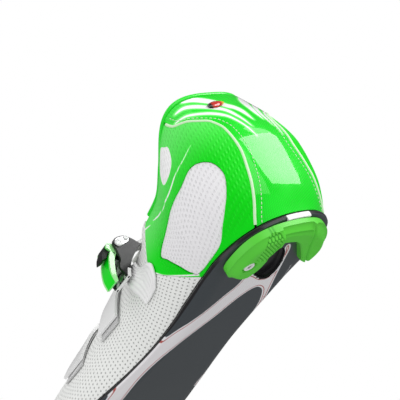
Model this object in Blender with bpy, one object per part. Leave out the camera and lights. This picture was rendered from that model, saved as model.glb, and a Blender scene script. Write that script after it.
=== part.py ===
"""Road cycling shoe for the left foot: stiff sole, moulded heel counter, ratchet buckle, two straps.

+X points to the outer side of the foot, +Y to the heel and +Z up.
The shoe stands on its heel and toe treads at z = 0, and the origin is on the heel tread.
Tables and helper functions work in millimetres, and MM turns them into Blender's metres.
A place on the upper is given by two numbers. `around` runs from 0 at the middle of the heel
over 1 where the heel turns into the side, 2 where the side turns into the toe, to 3 at the
toe tip, positive on the outer side and negative on the inner side. `height` runs from 0 at
the sole's rim to 1 at the collar, the throat edge or, in the forefoot, the ridge.
"""

import math

import bmesh
import bpy
import numpy as np
from mathutils import Matrix, Vector

MM = 0.001
GAP = 0.35

HEEL_BACK_Y = 6.0
HEEL_TURN = 34.0
TOE_TURN = 246.0
TOE_TIP = 285.0
OUTER, INNER = 1, -1

# Stations along the shoe, measured forward from the back of the heel:
# station, rim x, rim z, side bulge, top x, top z, and how flat the top runs in (0 to 1).
SIDE = {
    OUTER: [
        (34, 32.5, 11.5, 8.0, 30.5, 67.5, 0.0),
        (48, 31.2, 11.2, 7.5, 28.5, 60.0, 0.0),
        (66, 29.2, 10.6, 7.0, 26.5, 58.0, 0.1),
        (84, 27.8, 9.4, 6.0, 20.0, 53.8, 0.4),
        (100, 28.2, 8.6, 4.5, 16.0, 53.5, 0.75),
        (125, 31.5, 8.0, 2.5, 12.0, 52.5, 0.9),
        (160, 40.0, 8.0, 1.5, 8.0, 49.0, 1.0),
        (200, 45.5, 8.2, 1.5, 3.0, 46.0, 1.0),
        (225, 42.0, 9.0, 1.0, -3.0, 43.0, 1.0),
        (246, 34.0, 11.0, 0.8, -6.0, 40.0, 1.0),
    ],
    INNER: [
        (34, 34.0, 11.5, 9.0, 30.0, 67.5, 0.0),
        (48, 32.8, 11.7, 8.5, 29.0, 60.0, 0.0),
        (66, 31.6, 12.2, 7.5, 27.5, 58.5, 0.1),
        (84, 31.0, 12.6, 5.8, 20.0, 54.3, 0.4),
        (100, 31.4, 12.4, 5.0, 16.0, 54.0, 0.75),
        (125, 34.0, 11.0, 4.0, 12.0, 53.0, 0.9),
        (160, 39.5, 9.5, 3.0, 8.0, 49.5, 1.0),
        (200, 44.5, 8.5, 2.5, -3.0, 46.0, 1.0),
        (225, 45.0, 9.0, 1.5, 3.0, 43.0, 1.0),
        (246, 41.0, 11.0, 1.0, 6.0, 40.0, 1.0),
    ],
}
# Middle of the heel and of the toe, from the rim up: height, station, z.
HEEL_LINE = [(0, 0.0, 11.5), (0.25, -5.0, 31.0), (0.5, -5.8, 51.0),
             (0.75, -1.5, 71.0), (0.9, 3.5, 83.0), (1, 6.5, 90.0)]
TOE_LINE = [(0, TOE_TIP, 16.0), (0.25, 286.0, 20.5), (0.5, 282.0, 27.0),
            (0.75, 274.0, 33.0), (1, 262.0, 37.5)]
COLLAR_RISE = [(6.5, 90.0), (20.0, 79.5), (34.0, 67.5), (48.0, 60.0), (66.0, 58.0)]
TOE_TIP_X = -9.0

# Underside of the sole: station, z of its lowest skin. It is level under the heel and the ball.
HEEL_SKIN_Z, BALL_SKIN_Z = 6.3, 2.7
SOLE_BOTTOM = [(0, HEEL_SKIN_Z), (40, HEEL_SKIN_Z), (60, 5.2), (84, 4.1), (115, 3.4),
               (150, BALL_SKIN_Z), (232, BALL_SKIN_Z), (250, 5.2), (268, 8.4), (286, 12.0)]
SOLE_SKIN = 4.0
RIM_WIDTH = 3.4

# Where the heel counter meets the quarters: height, around.
COUNTER_SEAM = [(0, 0.46), (0.14, 0.34), (0.32, 0.25), (0.47, 0.21), (0.62, 0.215),
                (0.71, 0.27), (0.76, 0.39), (0.85, 0.6), (1, 0.68)]
# Where the quarters meet the forefoot panels: height, around.
QUARTER_FRONT = [(0, 1.05), (0.22, 1.11), (0.53, 1.178), (0.78, 1.155), (1, 1.135)]
# Outline of the mesh window in each quarter: around, height.
WINDOW = [(0.69, 0.52), (0.59, 0.5), (0.48, 0.445), (0.445, 0.35), (0.51, 0.25), (0.6, 0.175),
          (0.7, 0.11), (0.81, 0.045), (0.93, 0.024), (1.04, 0.026), (1.063, 0.09), (1.075, 0.215),
          (1.095, 0.365), (1.11, 0.47), (1.06, 0.555), (0.985, 0.56), (0.835, 0.513)]
WINDOW_MIDDLE = (0.78, 0.28)
# Heights where the counter and the quarters end under the collar.
COUNTER_TOP, QUARTER_TOP = 0.966, 0.922

VAMP_START = 198.0

# Over the instep: how far the tongue rises above the throat edges (station, rise), and the
# share of the section on each side that those edges leave open.
TONGUE_RISE = [(60, 8.0), (92, 4.5), (125, 3.5), (160, 2.5), (198, 1.2)]
THROAT = 0.25

# Heel pad in plan, once round from its outer end, and the well in the sole beside it.
HEEL_PAD = [(20.5, -29.5), (26, -29), (30, -24), (31, -16), (30, -7), (26, 0), (18, 4.5), (8, 6.2),
            (-4, 6.0), (-14, 3.0), (-24, -4.5), (-31, -13), (-32.5, -20), (-28, -28), (-21.5, -27.5),
            (-15.5, -20), (-10, -13.5), (-4, -7.5), (3, -4.5), (11, -4), (13.2, -11), (13.5, -20.5),
            (17, -27)]
HEEL_WELL = [(7, -13), (-2, -15), (-8.5, -21), (-13, -30), (-15, -38), (-12.5, -44.5), (-5, -42),
             (4, -35), (9, -24)]
HEEL_SCREW = (23.0, -17.5)
TAB_AROUND = (-0.08, 0.15)
TAB_LOW, TAB_HIGH = 7.6, 10.4
TOE_SCREWS = [(14.0, -226.0), (-18.0, -226.0)]

# Three-bolt cleat: slots through the sole, and the threaded plate that slides above them.
CLEAT_STATION = 190.0
CLEAT_HOLES = [(2.0, CLEAT_STATION + 14.0), (-16.25, CLEAT_STATION - 14.0),
               (20.25, CLEAT_STATION - 14.0)]
NUT_LENGTH, NUT_WIDTH = 44.0, 43.5
NUT_TRAVEL = 3.0

# Instep closure: every curved piece of it is part of one circle, seen along Y.
INSTEP_CENTRE = (0.0, 29.0)
INSTEP_STATION = 96.0
LADDER_WIDTH = 10.0
LADDER_R = 35.0
LADDER_START, TEETH_START, LADDER_END = -76.0, 15.6, 50.8
TOOTH = 3.2
ANCHOR_ANGLE = -64.0

# Ratchet buckle: its base on the same circle, and its four pins in the buckle's own frame.
BUCKLE_ANGLE = 47.0
BUCKLE_START, BUCKLE_END = 29.0, 65.0
BUCKLE_SCREW_ANGLE = 60.5
BASE_R = 33.0
FRAME_R = BASE_R + 0.4
LEVER_PIN = (-6.5, 9.2)
RELEASE_PIN = (-4.0, 13.4)
DRIVE_PIN = (-1.1, 9.1)
HOLD_PIN = (-12.0, 6.3)
HALF = LADDER_WIDTH / 2 + 0.5

# Outer instep wing, from the buckle (0) down to its lower end (1): station of its edge
# towards the heel. Its other edge runs straight.
WING_HEEL_EDGE = [(0, 88.0), (0.17, 85.0), (0.68, 65.5), (0.85, 67.0), (1, 73.0)]

# Hook-and-loop straps: station of the middle and width.
STRAPS = {"middle": (127.0, 20.0), "front": (166.0, 20.0)}
STRAP_OUT, STRAP_THICK = 1.6, 1.7

COLOURS = {
    "green_gloss": ((0.003, 0.75, 0.03), 0.15, 0),
    "green_film": ((0.01, 0.72, 0.04), 0.35, 0),
    "green_tpu": ((0.12, 0.75, 0.06), 0.45, 0),
    "white_mesh": ((0.82, 0.82, 0.82), 0.7, 0),
    "white_film": ((0.85, 0.85, 0.85), 0.4, 0),
    "lining": ((0.75, 0.76, 0.74), 0.9, 0),
    "sole": ((0.06, 0.07, 0.075), 0.3, 0),
    "black_nylon": ((0.012, 0.012, 0.013), 0.3, 0),
    "steel": ((0.6, 0.6, 0.6), 0.3, 1),
    "board": ((0.5, 0.42, 0.3), 0.8, 0),
    "foam": ((0.1, 0.1, 0.11), 0.9, 0),
    "badge": ((0.3, 0.01, 0.01), 0.2, 0),
}


# ---------------------------------------------------------------- scene and materials

def clear_scene():
    for thing in list(bpy.data.objects):
        bpy.data.objects.remove(thing)


def own_material(name, look):
    colour, roughness, metallic = COLOURS[look]
    made = bpy.data.materials.new(f"{name}_{look}")
    made.use_nodes = True
    shader = made.node_tree.nodes["Principled BSDF"]
    shader.inputs["Base Color"].default_value = (*colour, 1)
    shader.inputs["Roughness"].default_value = roughness
    shader.inputs["Metallic"].default_value = metallic
    return made


def add_object(name, data, look):
    data.materials.append(own_material(name, look))
    made = bpy.data.objects.new(name, data)
    bpy.context.scene.collection.objects.link(made)
    return made


def add_mesh(name, points, faces, look, origin=(0, 0, 0), frame=None):
    """A named object from millimetre points, with its origin moved to `origin`."""
    place = frame or Matrix.Identity(4)
    points = [place @ Vector(p) - Vector(origin) for p in points]
    mesh = bpy.data.meshes.new(name)
    mesh.from_pydata([p * MM for p in points], [], faces)
    tidy = bmesh.new()
    tidy.from_mesh(mesh)
    bmesh.ops.remove_doubles(tidy, verts=tidy.verts, dist=1e-6)
    bmesh.ops.recalc_face_normals(tidy, faces=tidy.faces)
    if tidy.calc_volume(signed=True) < 0:
        bmesh.ops.reverse_faces(tidy, faces=tidy.faces)
    tidy.to_mesh(mesh)
    tidy.free()
    mesh.shade_smooth()
    mesh.set_sharp_from_angle(angle=math.radians(35))
    made = add_object(name, mesh, look)
    made.location = Vector(origin) * MM
    return made


def bevel(thing, width, segments=2):
    edge = thing.modifiers.new("edges", "BEVEL")
    edge.width = width * MM
    edge.segments = segments
    edge.limit_method = "ANGLE"
    edge.angle_limit = math.radians(40)


def cut(thing, cutter):
    cutter.hide_render = True
    cutter.display_type = "WIRE"
    boolean = thing.modifiers.new("cut_" + cutter.name, "BOOLEAN")
    boolean.operation = "DIFFERENCE"
    boolean.object = cutter


def weld(thing, other):
    """Union `other` into `thing`; the other then only guides the modifier."""
    other.hide_render = True
    other.display_type = "WIRE"
    boolean = thing.modifiers.new("weld_" + other.name, "BOOLEAN")
    boolean.operation = "UNION"
    boolean.object = other


# ---------------------------------------------------------------- curves and the shoe's surface

def smooth(table, x, column=1):
    """Monotone cubic through a table's first column and the given one."""
    xs = [row[0] for row in table]
    ys = [row[column] for row in table]
    if x <= xs[0]:
        return ys[0]
    if x >= xs[-1]:
        return ys[-1]
    i = max(k for k in range(len(xs) - 1) if xs[k] <= x)

    def slope(k):
        if k in (0, len(xs) - 1):
            j = min(k, len(xs) - 2)
            return (ys[j + 1] - ys[j]) / (xs[j + 1] - xs[j])
        before = (ys[k] - ys[k - 1]) / (xs[k] - xs[k - 1])
        after = (ys[k + 1] - ys[k]) / (xs[k + 1] - xs[k])
        return 0 if before * after <= 0 else 2 * before * after / (before + after)

    h = xs[i + 1] - xs[i]
    t = (x - xs[i]) / h
    return ((2 * t**3 - 3 * t**2 + 1) * ys[i] + (t**3 - 2 * t**2 + t) * slope(i) * h
            + (3 * t**2 - 2 * t**3) * ys[i + 1] + (t**3 - t**2) * slope(i + 1) * h)


def bezier(p, t):
    r = 1 - t
    return r**3 * p[0] + 3 * r * r * t * p[1] + 3 * r * t * t * p[2] + t**3 * p[3]


def side_point(side, station, height):
    """x and z of the upper's side at a station."""
    rim_x, rim_z, bulge, top_x, top_z, flat = (smooth(SIDE[side], station, k) for k in range(1, 7))
    if station < COLLAR_RISE[-1][0]:
        top_z = smooth(COLLAR_RISE, station)
    tall = top_z - rim_z
    low = (rim_x + 1.6 * bulge, rim_z + tall * (0.33 + 0.07 * flat))
    steep = (top_x + 0.25 * (rim_x - top_x) + 0.9 * bulge, top_z - 0.33 * tall)
    level = (top_x + 0.3 * (rim_x - top_x), top_z - 0.08 * tall)
    high = [steep[k] * (1 - flat) + level[k] * flat for k in (0, 1)]
    x = bezier([rim_x, low[0], high[0], top_x], height)
    z = bezier([rim_z, low[1], high[1], top_z], height)
    return side * x, z


def end_turn(angle, fullness):
    """Cosine and sine of a squared-off circle."""
    power = 2 / fullness
    return max(0, math.cos(angle)) ** power, max(0, math.sin(angle)) ** power


def upper(around, height):
    """A point on the outside of the upper."""
    side = OUTER if around >= 0 else INNER
    a = abs(around)
    if a < 1:
        x, _ = side_point(side, HEEL_TURN, height)
        back, back_z = smooth(HEEL_LINE, height, 1), smooth(HEEL_LINE, height, 2)
        fullness = 2.3 + (0.3 * height if side == OUTER else 0.7 * min(1, 2 * height))
        c, s = end_turn((1 - a) * math.pi / 2, fullness)
        station = HEEL_TURN - (HEEL_TURN - back) * s
        _, z = side_point(side, max(6.5, station), height)
        x, z = x * c, z * (1 - s * s) + back_z * s * s
    elif a <= 2:
        station = HEEL_TURN + (a - 1) * (TOE_TURN - HEEL_TURN)
        x, z = side_point(side, station, height)
    else:
        x, z = side_point(side, TOE_TURN, height)
        ridge, _ = side_point(side, TOE_TURN, 1)
        front, front_z = smooth(TOE_LINE, height, 1), smooth(TOE_LINE, height, 2)
        c, s = end_turn((a - 2) * math.pi / 2, 2.2)
        station = TOE_TURN + (front - TOE_TURN) * s
        x = ridge + (TOE_TIP_X - ridge) * s + (x - ridge) * c
        z = z * (1 - s * s) + front_z * s * s
    return Vector((x, HEEL_BACK_Y - station, z))


def around_at(station):
    return 1 + (station - HEEL_TURN) / (TOE_TURN - HEEL_TURN)


def upper_normal(around, height):
    """Outward normal, from small steps along the surface."""
    h0, h1 = max(0, height - 0.01), min(1, height + 0.01)
    a0, a1 = around - 0.02, around + 0.02
    if abs(around) > 2.97:
        a0, a1 = around - 0.04, around
    up = upper(around, h1) - upper(around, h0)
    along = upper(a1, height) - upper(a0, height)
    return along.cross(up).normalized() * -1


def on_upper(around, height, out=0.0):
    return upper(around, height) + upper_normal(around, height) * out


def across(station, c, out=0.0):
    """A point on the section over the instep: c is 1 at the outer rim and -1 at the inner rim.

    Between -THROAT and THROAT the section runs over the tongue, from throat edge to throat edge."""
    def place(c):
        if abs(c) >= THROAT:
            a = around_at(station) * (1 if c > 0 else -1)
            return upper(a, (1 - abs(c)) / (1 - THROAT))
        left, right = upper(around_at(station), 1), upper(-around_at(station), 1)
        middle = left.lerp(right, (THROAT - c) / (2 * THROAT))
        middle.z += smooth(TONGUE_RISE, station) * (1 - (c / THROAT) ** 2)
        return middle

    step = place(min(1, c + 0.02)) - place(max(-1, c - 0.02))
    return place(c) + step.cross(Vector((0, 1, 0))).normalized() * out


# ---------------------------------------------------------------- builders of closed solids

def grid_faces(rows, columns, closed=False, start=0, flip=False):
    faces = []
    for i in range(rows - 1):
        for j in range(columns if closed else columns - 1):
            k = (j + 1) % columns
            quad = [start + i * columns + j, start + i * columns + k,
                    start + (i + 1) * columns + k, start + (i + 1) * columns + j]
            faces.append(quad[::-1] if flip else quad)
    return faces


def shell(name, rows, columns, place, look, ring=False):
    """A closed skin between place(u, v, 0) and place(u, v, 1), with u and v from 0 to 1."""
    steps = columns if ring else columns - 1
    points = [place(i / (rows - 1), j / steps, layer)
              for layer in (0, 1) for i in range(rows) for j in range(columns)]
    count = rows * columns
    faces = grid_faces(rows, columns, ring) + grid_faces(rows, columns, ring, count, flip=True)
    rim = []
    for j in range(columns if ring else columns - 1):
        k = (j + 1) % columns
        rim.append((j, k))
        rim.append(((rows - 1) * columns + k, (rows - 1) * columns + j))
    if not ring:
        for i in range(rows - 1):
            rim.append(((i + 1) * columns, i * columns))
            rim.append((i * columns + columns - 1, (i + 1) * columns + columns - 1))
    faces += [(b, a, a + count, b + count) for a, b in rim]
    return add_mesh(name, points, faces, look)


def patch(name, a_low, a_high, h_low, h_high, thick, look, size=(14, 10), out=0.0):
    """A panel of the upper; a_low and a_high give `around` for each height, or are numbers."""
    def bound(limit, height):
        return limit(height) if callable(limit) else limit

    def place(u, v, layer):
        height = h_low + (h_high - h_low) * v
        low, high = bound(a_low, height), bound(a_high, height)
        return on_upper(low + (high - low) * u, height, out - layer * thick)
    return shell(name, size[0], size[1], place, look)


def prism(name, outline, low, high, look, frame=None, origin=(0, 0, 0), axis="Z"):
    """An outline in the local XY plane (or XZ, for axis Y), extruded from low to high."""
    count = len(outline)
    if axis == "Z":
        points = [(x, y, level) for level in (low, high) for x, y in outline]
    else:
        points = [(x, level, z) for level in (low, high) for x, z in outline]
    faces = [list(range(count)), list(range(2 * count - 1, count - 1, -1))]
    faces += [(i, i + count, (i + 1) % count + count, (i + 1) % count) for i in range(count)]
    return add_mesh(name, points, faces, look, origin, frame)


def arc_points(cx, cy, radius, start, end, count):
    return [(cx + radius * math.cos(math.radians(start + (end - start) * i / (count - 1))),
             cy + radius * math.sin(math.radians(start + (end - start) * i / (count - 1))))
            for i in range(count)]


def slot_outline(cx, cy, long, wide):
    """A stadium, `long` end to end along Y and `wide` across."""
    r, reach = wide / 2, (long - wide) / 2
    return arc_points(cx, cy + reach, r, 0, 180, 7) + arc_points(cx, cy - reach, r, 180, 360, 7)


def lathe(name, profile, look, frame, sides=16):
    """A profile of (radius, z) pairs, first and last on the axis, turned about local Z."""
    points = []
    for r, z in profile:
        for k in range(sides):
            angle = 2 * math.pi * k / sides
            points.append((r * math.cos(angle), r * math.sin(angle), z))
    return add_mesh(name, points, grid_faces(len(profile), sides, True), look, frame=frame)


def tube(name, points, radius, look):
    """A round bar along points, as a bevelled curve with filled ends."""
    curve = bpy.data.curves.new(name, "CURVE")
    curve.dimensions = "3D"
    curve.bevel_depth = radius * MM
    curve.bevel_resolution = 1
    curve.use_fill_caps = True
    line = curve.splines.new("POLY")
    line.points.add(len(points) - 1)
    for knot, p in zip(line.points, points):
        knot.co = (*(p * MM), 1)
    return add_object(name, curve, look)


def on_circle(profile):
    """X and Z on the instep circle; degrees run from the top towards the outer side."""
    return [(INSTEP_CENTRE[0] + r * math.sin(math.radians(a)),
             INSTEP_CENTRE[1] + r * math.cos(math.radians(a))) for a, r in profile]


def arc_slab(name, start, end, low, high, y_low, y_high, look, steps=12):
    """Part of the instep circle, from one angle to another."""
    angles = [start + (end - start) * i / steps for i in range(steps + 1)]
    section = [(a, low) for a in angles] + [(a, high) for a in angles[::-1]]
    return prism(name, on_circle(section), y_low, y_high, look, axis="Y")


def station_y(station):
    return HEEL_BACK_Y - station


# ---------------------------------------------------------------- sole

def sole_loop(inset, z_of, count):
    """Plan outline of the rim, moved in by `inset`: outer side first, then the inner side."""
    loop = []
    for side in (OUTER, INNER):
        for i in range(count):
            around = side * (3 * i / (count - 1))
            rim = upper(around or side * 1e-6, 0)
            out = upper(around + side * 0.02, 0) - upper(around - side * 0.02, 0)
            if i in (0, count - 1):
                normal = Vector((0, 1 if i == 0 else -1, 0))
            else:
                normal = Vector((-out.y, out.x, 0)).normalized()
                if normal.x * side < 0:
                    normal = -normal
            station = HEEL_BACK_Y - rim.y
            spot = rim - normal * inset
            spot.z = z_of(station, rim.z)
            loop.append(spot)
    return loop


def sole_slab(name, loops, look, count, ladder=6):
    """A closed body through stacked outlines, closed above and below by cross ladders."""
    points, faces = [], []
    for loop in loops:
        points += loop
    size = 2 * count

    def ring(level, k):
        outer = list(range(count))
        inner = [count + i for i in range(count - 2, 0, -1)]
        order = outer + inner
        return level * size + order[k % len(order)]

    around = 2 * count - 2
    for level in range(len(loops) - 1):
        for k in range(around):
            faces.append((ring(level, k), ring(level, k + 1), ring(level + 1, k + 1), ring(level + 1, k)))
    for level in (0, len(loops) - 1):
        rows = []
        for i in range(count):
            a, b = level * size + i, level * size + count + i
            if i in (0, count - 1):
                rows.append([a] * (ladder + 1))
                continue
            row = [a]
            for j in range(1, ladder):
                points.append(points[a].lerp(points[b], j / ladder))
                row.append(len(points) - 1)
            rows.append(row + [b])
        for i in range(count - 1):
            for j in range(ladder):
                quad = [rows[i][j], rows[i][j + 1], rows[i + 1][j + 1], rows[i + 1][j]]
                unique = list(dict.fromkeys(quad))
                if len(unique) > 2:
                    faces.append(unique)
    return add_mesh(name, points, faces, look)


def bottom_z(station):
    return smooth(SOLE_BOTTOM, station)


def sole_skin_loops(count, drop=0.0):
    """The outsole's outlines from the inner floor over the rim to the middle of the underside."""
    return [
        sole_loop(RIM_WIDTH + 2.5, lambda s, z: bottom_z(s) + SOLE_SKIN - drop, count),
        sole_loop(RIM_WIDTH, lambda s, z: z - 2.0 - drop, count),
        sole_loop(RIM_WIDTH - 0.4, lambda s, z: z - GAP - drop, count),
        sole_loop(0.0, lambda s, z: z - GAP - drop, count),
        sole_loop(-0.7, lambda s, z: z - 1.6 - drop, count),
        sole_loop(0.1, lambda s, z: 0.6 * z + 0.4 * (bottom_z(s) + 0.6) - 1.2 - drop, count),
        sole_loop(3.0, lambda s, z: 0.25 * z + 0.75 * bottom_z(s) - drop, count),
        sole_loop(6.5, lambda s, z: bottom_z(s) + 0.35 - drop, count),
        sole_loop(9.5, lambda s, z: bottom_z(s) - drop, count),
    ]


def build_sole():
    sole = sole_slab("outsole", sole_skin_loops(27), "sole", 27)
    for k, (x, station) in enumerate(CLEAT_HOLES):
        outline = slot_outline(x, station_y(station), 12.5, 6.5)
        cut(sole, prism(f"cutter_cleat_{k}", outline, -2, 14, "steel"))
    plate_low = BALL_SKIN_Z + 1.5
    plate_x, plate_y = CLEAT_HOLES[0][0], station_y(CLEAT_STATION)
    pocket = slot_outline(plate_x, plate_y, NUT_LENGTH + 2 * (NUT_TRAVEL + 1), NUT_WIDTH + 1.5)
    cut(sole, prism("cutter_nut_pocket", pocket, plate_low - GAP, 30, "steel"))
    well = prism("cutter_heel_well", HEEL_WELL, HEEL_SKIN_Z - 3, HEEL_SKIN_Z + 2.6, "steel")
    bevel(well, 1.5, 2)
    cut(sole, well)

    board_low, board_high = GAP, GAP + 1.5

    def base(lift):
        return lambda station, rim_z: bottom_z(station) + SOLE_SKIN + lift
    sole_slab("lasting_board", [sole_loop(RIM_WIDTH + 3.2, base(board_low), 25),
                                sole_loop(RIM_WIDTH + 3.2, base(board_high), 25)], "board", 25, 2)
    sole_slab("insole", [
        sole_loop(RIM_WIDTH + 4.0, base(board_high + GAP), 25),
        sole_loop(RIM_WIDTH + 3.4, base(board_high + GAP + 3.4), 25),
        sole_loop(RIM_WIDTH + 6.4, base(board_high + GAP + 3.9), 25),
        sole_loop(RIM_WIDTH + 14, base(board_high + GAP + 3.2), 25)], "foam", 25, 2)
    plate = prism("cleat_nut_plate", slot_outline(plate_x, plate_y, NUT_LENGTH, NUT_WIDTH),
                  plate_low, plate_low + 1.9, "steel", origin=(plate_x, plate_y, plate_low))
    for k, (x, station) in enumerate(CLEAT_HOLES):
        hole = arc_points(x, station_y(station), 2.5, 0, 337.5, 16)
        cut(plate, prism(f"cutter_nut_{k}", hole, 0, 20, "steel"))


def build_treads():
    """Heel pad with its screw and washer, the tab above it, and the toe tread."""
    heel = prism("heel_pad", HEEL_PAD, 0, HEEL_SKIN_Z + 1.2, "green_tpu")
    bevel(heel, 1.0, 2)
    clearance = sole_slab("cutter_sole_clearance", sole_skin_loops(27, GAP), "steel", 27)
    cut(heel, clearance)
    spot = Matrix.Translation((*HEEL_SCREW, 0))
    for thing, word, radius, low, high in ((heel, "screw_well", 4.0, -1, 2.4),
                                           (heel, "screw_bore", 2.1, -2, 12),
                                           (bpy.data.objects["outsole"], "screw_seat", 2.0, 4, 9.4)):
        cylinder = [(0, low), (radius, low), (radius, high), (0, high)]
        cut(thing, lathe("cutter_" + word, cylinder, "steel", spot, 16))
    lathe("heel_pad_washer", [(2.1, 1.5), (3.65, 1.5), (3.65, 2.05), (2.1, 2.05), (2.1, 1.5)],
          "steel", spot, 20)
    screw("heel_pad_screw", spot, 2.9, 0.15, 1.15, 1.6, 9.0)
    tab_spots = np.linspace(*TAB_AROUND, 8)

    def band(out):
        return [tuple((upper(a, 0) + upper_flat_normal(a) * out)[:2]) for a in tab_spots]
    prism("heel_tab", band(1.0) + band(-1.4)[::-1], TAB_LOW, TAB_HIGH, "white_film")
    notch = prism("cutter_tab", band(3) + band(-1.4 - GAP)[::-1], TAB_LOW - GAP, TAB_HIGH + GAP, "steel")
    notch.scale.x = 1.04
    cut(bpy.data.objects["outsole"], notch)
    build_toe_tread()


def upper_flat_normal(around):
    """Outward direction in plan at the rim."""
    step = upper(around + 0.01, 0) - upper(around - 0.01, 0)
    out = Vector((-step.y, step.x, 0)).normalized()
    return out if out.dot(upper(around, 0) - Vector((0, station_y(HEEL_TURN), 0))) > 0 else -out


def build_toe_tread():
    def place(u, v, layer):
        station = 214 + 44 * u
        left, right = 33 - 20 * u**2, -36 + 12 * u**2
        top = bottom_z(station) - GAP
        return Vector((left + (right - left) * v, station_y(station), top - layer * (BALL_SKIN_Z - GAP)))
    tread = shell("toe_tread", 9, 5, place, "black_nylon")
    for k, (x, y) in enumerate(TOE_SCREWS):
        spot = Matrix.Translation((x, y, 0))
        outsole = bpy.data.objects["outsole"]
        for thing, word, radius, low in ((tread, "screw", 3.4, -2), (outsole, "seat", 1.9, 1)):
            cylinder = [(0, low), (radius, low), (radius, 5), (0, 5)]
            cut(thing, lathe(f"cutter_toe_{word}_{k}", cylinder, "steel", spot, 16))
        screw(f"toe_tread_screw_{k + 1}", spot, 3.0, 0.5, 2.0, 1.5, 4.6)


def screw(name, frame, head, low, high, shank, top):
    """A socket-head screw pointing up: head from low to high, shank up to top, hex recess below."""
    made = lathe(name, [(0, low), (head - 0.5, low), (head, low + 0.5), (head, high), (shank, high),
                        (shank, top), (0, top)], "steel", frame, 16)
    hexagon = [(1.5 * math.cos(math.radians(60 * k)), 1.5 * math.sin(math.radians(60 * k)))
               for k in range(6)]
    cut(made, prism("cutter_hex_" + name, hexagon, low - 1, low + 1.0, "steel", frame))


# ---------------------------------------------------------------- upper

def counter_edge(height):
    return smooth(COUNTER_SEAM, height - 0.018) - 0.034


def quarter_edge(height):
    return smooth(COUNTER_SEAM, height + 0.018) + 0.034


def quarter_front(height):
    return smooth(QUARTER_FRONT, height)


def build_upper():
    patch("heel_counter", lambda h: -counter_edge(h), counter_edge, 0, COUNTER_TOP, 1.6,
          "green_gloss", (19, 10))
    for side, word in ((OUTER, "outer"), (INNER, "inner")):
        build_quarter(side, word)
        patch(f"forefoot_panel_{word}", lambda h: side * (quarter_front(h) + 0.004),
              side * around_at(VAMP_START - 0.4), 0, 0.99, 1.4, "white_mesh", (12, 8))
        heights = np.linspace(0.015, COUNTER_TOP - 0.06, 26)
        piping = [on_upper(side * smooth(COUNTER_SEAM, h), h, -0.3) for h in heights]
        tube(f"seam_piping_{word}", piping, 0.7, "white_film")
    patch("heel_stiffener", -0.9, 0.9, 0.03, 0.58, 1.0, "board", (13, 5), out=-2.5)
    build_lining()
    build_binding()
    build_vamp()
    build_tongue()
    build_badge()
    patch("toe_stiffener", 2.02, 2.9, 0.04, 0.6, 0.9, "board", (8, 5), out=-1.9)


def build_quarter(side, word):
    """The film frame is a ring around the mesh window, and the mesh fills the window."""
    window = closed_curve(WINDOW, 2)
    count = len(window)
    border = [border_point(a, h) for a, h in window]

    def ring(u, v, layer):
        k = round(v * count) % count
        inner, outer = window[k], border[k]
        a = inner[0] + (outer[0] - inner[0]) * u
        h = inner[1] + (outer[1] - inner[1]) * u
        return on_upper(side * a, h, -1.5 * layer)
    shell(f"quarter_{word}", 5, count, ring, "green_film", ring=True)

    def mesh_point(a, h, share, layer):
        return on_upper(side * (WINDOW_MIDDLE[0] + (a - WINDOW_MIDDLE[0]) * share),
                        WINDOW_MIDDLE[1] + (h - WINDOW_MIDDLE[1]) * share, -0.2 - 1.1 * layer)
    points, faces = [], []
    for layer in (0, 1):
        start = len(points)
        points.append(mesh_point(*WINDOW_MIDDLE, 0, layer))
        points += [mesh_point(a, h, share, layer) for share in (0.35, 0.7, 0.985) for a, h in window]
        faces += [(start, start + 1 + k, start + 1 + (k + 1) % count) for k in range(count)]
        faces += grid_faces(3, count, True, start + 1)
    half = len(points) // 2
    last = 1 + 2 * count
    for k in range(count):
        a, b = last + k, last + (k + 1) % count
        faces.append((a, b, b + half, a + half))
    add_mesh(f"quarter_mesh_{word}", points, faces, "white_mesh")


def closed_curve(points, parts):
    """A smooth closed curve through the points, with `parts` steps between each two."""
    count, made = len(points), []
    for i in range(count):
        p0, p1, p2, p3 = (np.array(points[(i + k) % count]) for k in (-1, 0, 1, 2))
        for j in range(parts):
            t = j / parts
            made.append(tuple(0.5 * (2 * p1 + (p2 - p0) * t + (2 * p0 - 5 * p1 + 4 * p2 - p3) * t**2
                                     + (3 * p1 - p0 - 3 * p2 + p3) * t**3)))
    return made


def border_point(a, h):
    """Where a ray from the window's middle through a window corner meets the quarter's edge."""
    ca, ch = WINDOW_MIDDLE
    reach, inside = 1.0, True
    while inside and reach < 12:
        reach += 0.01
        x, y = ca + (a - ca) * reach, ch + (h - ch) * reach
        kept = min(max(y, 0), QUARTER_TOP)
        inside = y == kept and quarter_edge(kept) < x < quarter_front(kept) - 0.004
    return x, kept


def build_lining():
    def place(u, v, layer):
        height = 0.03 + 0.895 * v
        around = -1.12 + 2.24 * u
        outside = -4.1 + 1.4 * min(1, max(0, (height - 0.6) / 0.15))
        thick = 1.6 + 4.2 * math.sin(math.pi * min(1, max(0, (height - 0.35) / 0.65))) ** 2
        return on_upper(around, height, outside - layer * thick)
    shell("collar_lining", 19, 8, place, "lining")


def build_binding():
    line = [upper(a, 1) + Vector((0, 0, 0.4)) - upper_normal(a, 0.99) * 1.5
            for a in np.linspace(-1.12, 1.12, 31)]
    tube("collar_binding", line, 1.5, "green_film")


def build_vamp():
    def vamp(u, v, layer):
        station = VAMP_START + 0.4 + (TOE_TURN - VAMP_START - 0.4) * u
        side = OUTER if v < 0.5 else INNER
        height = 1 - abs(v - 0.5) * 2
        return surface_offset(side * around_at(station), height, -1.4 * layer)
    shell("vamp", 6, 15, vamp, "white_mesh")

    def cap(u, v, layer):
        side = OUTER if v < 0.5 else INNER
        height = 1 - abs(v - 0.5) * 2
        return surface_offset(side * (2.004 + 0.996 * u), height, -1.4 * layer)
    shell_closed_end("toe_cap", 9, 15, cap, "green_film")


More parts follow.
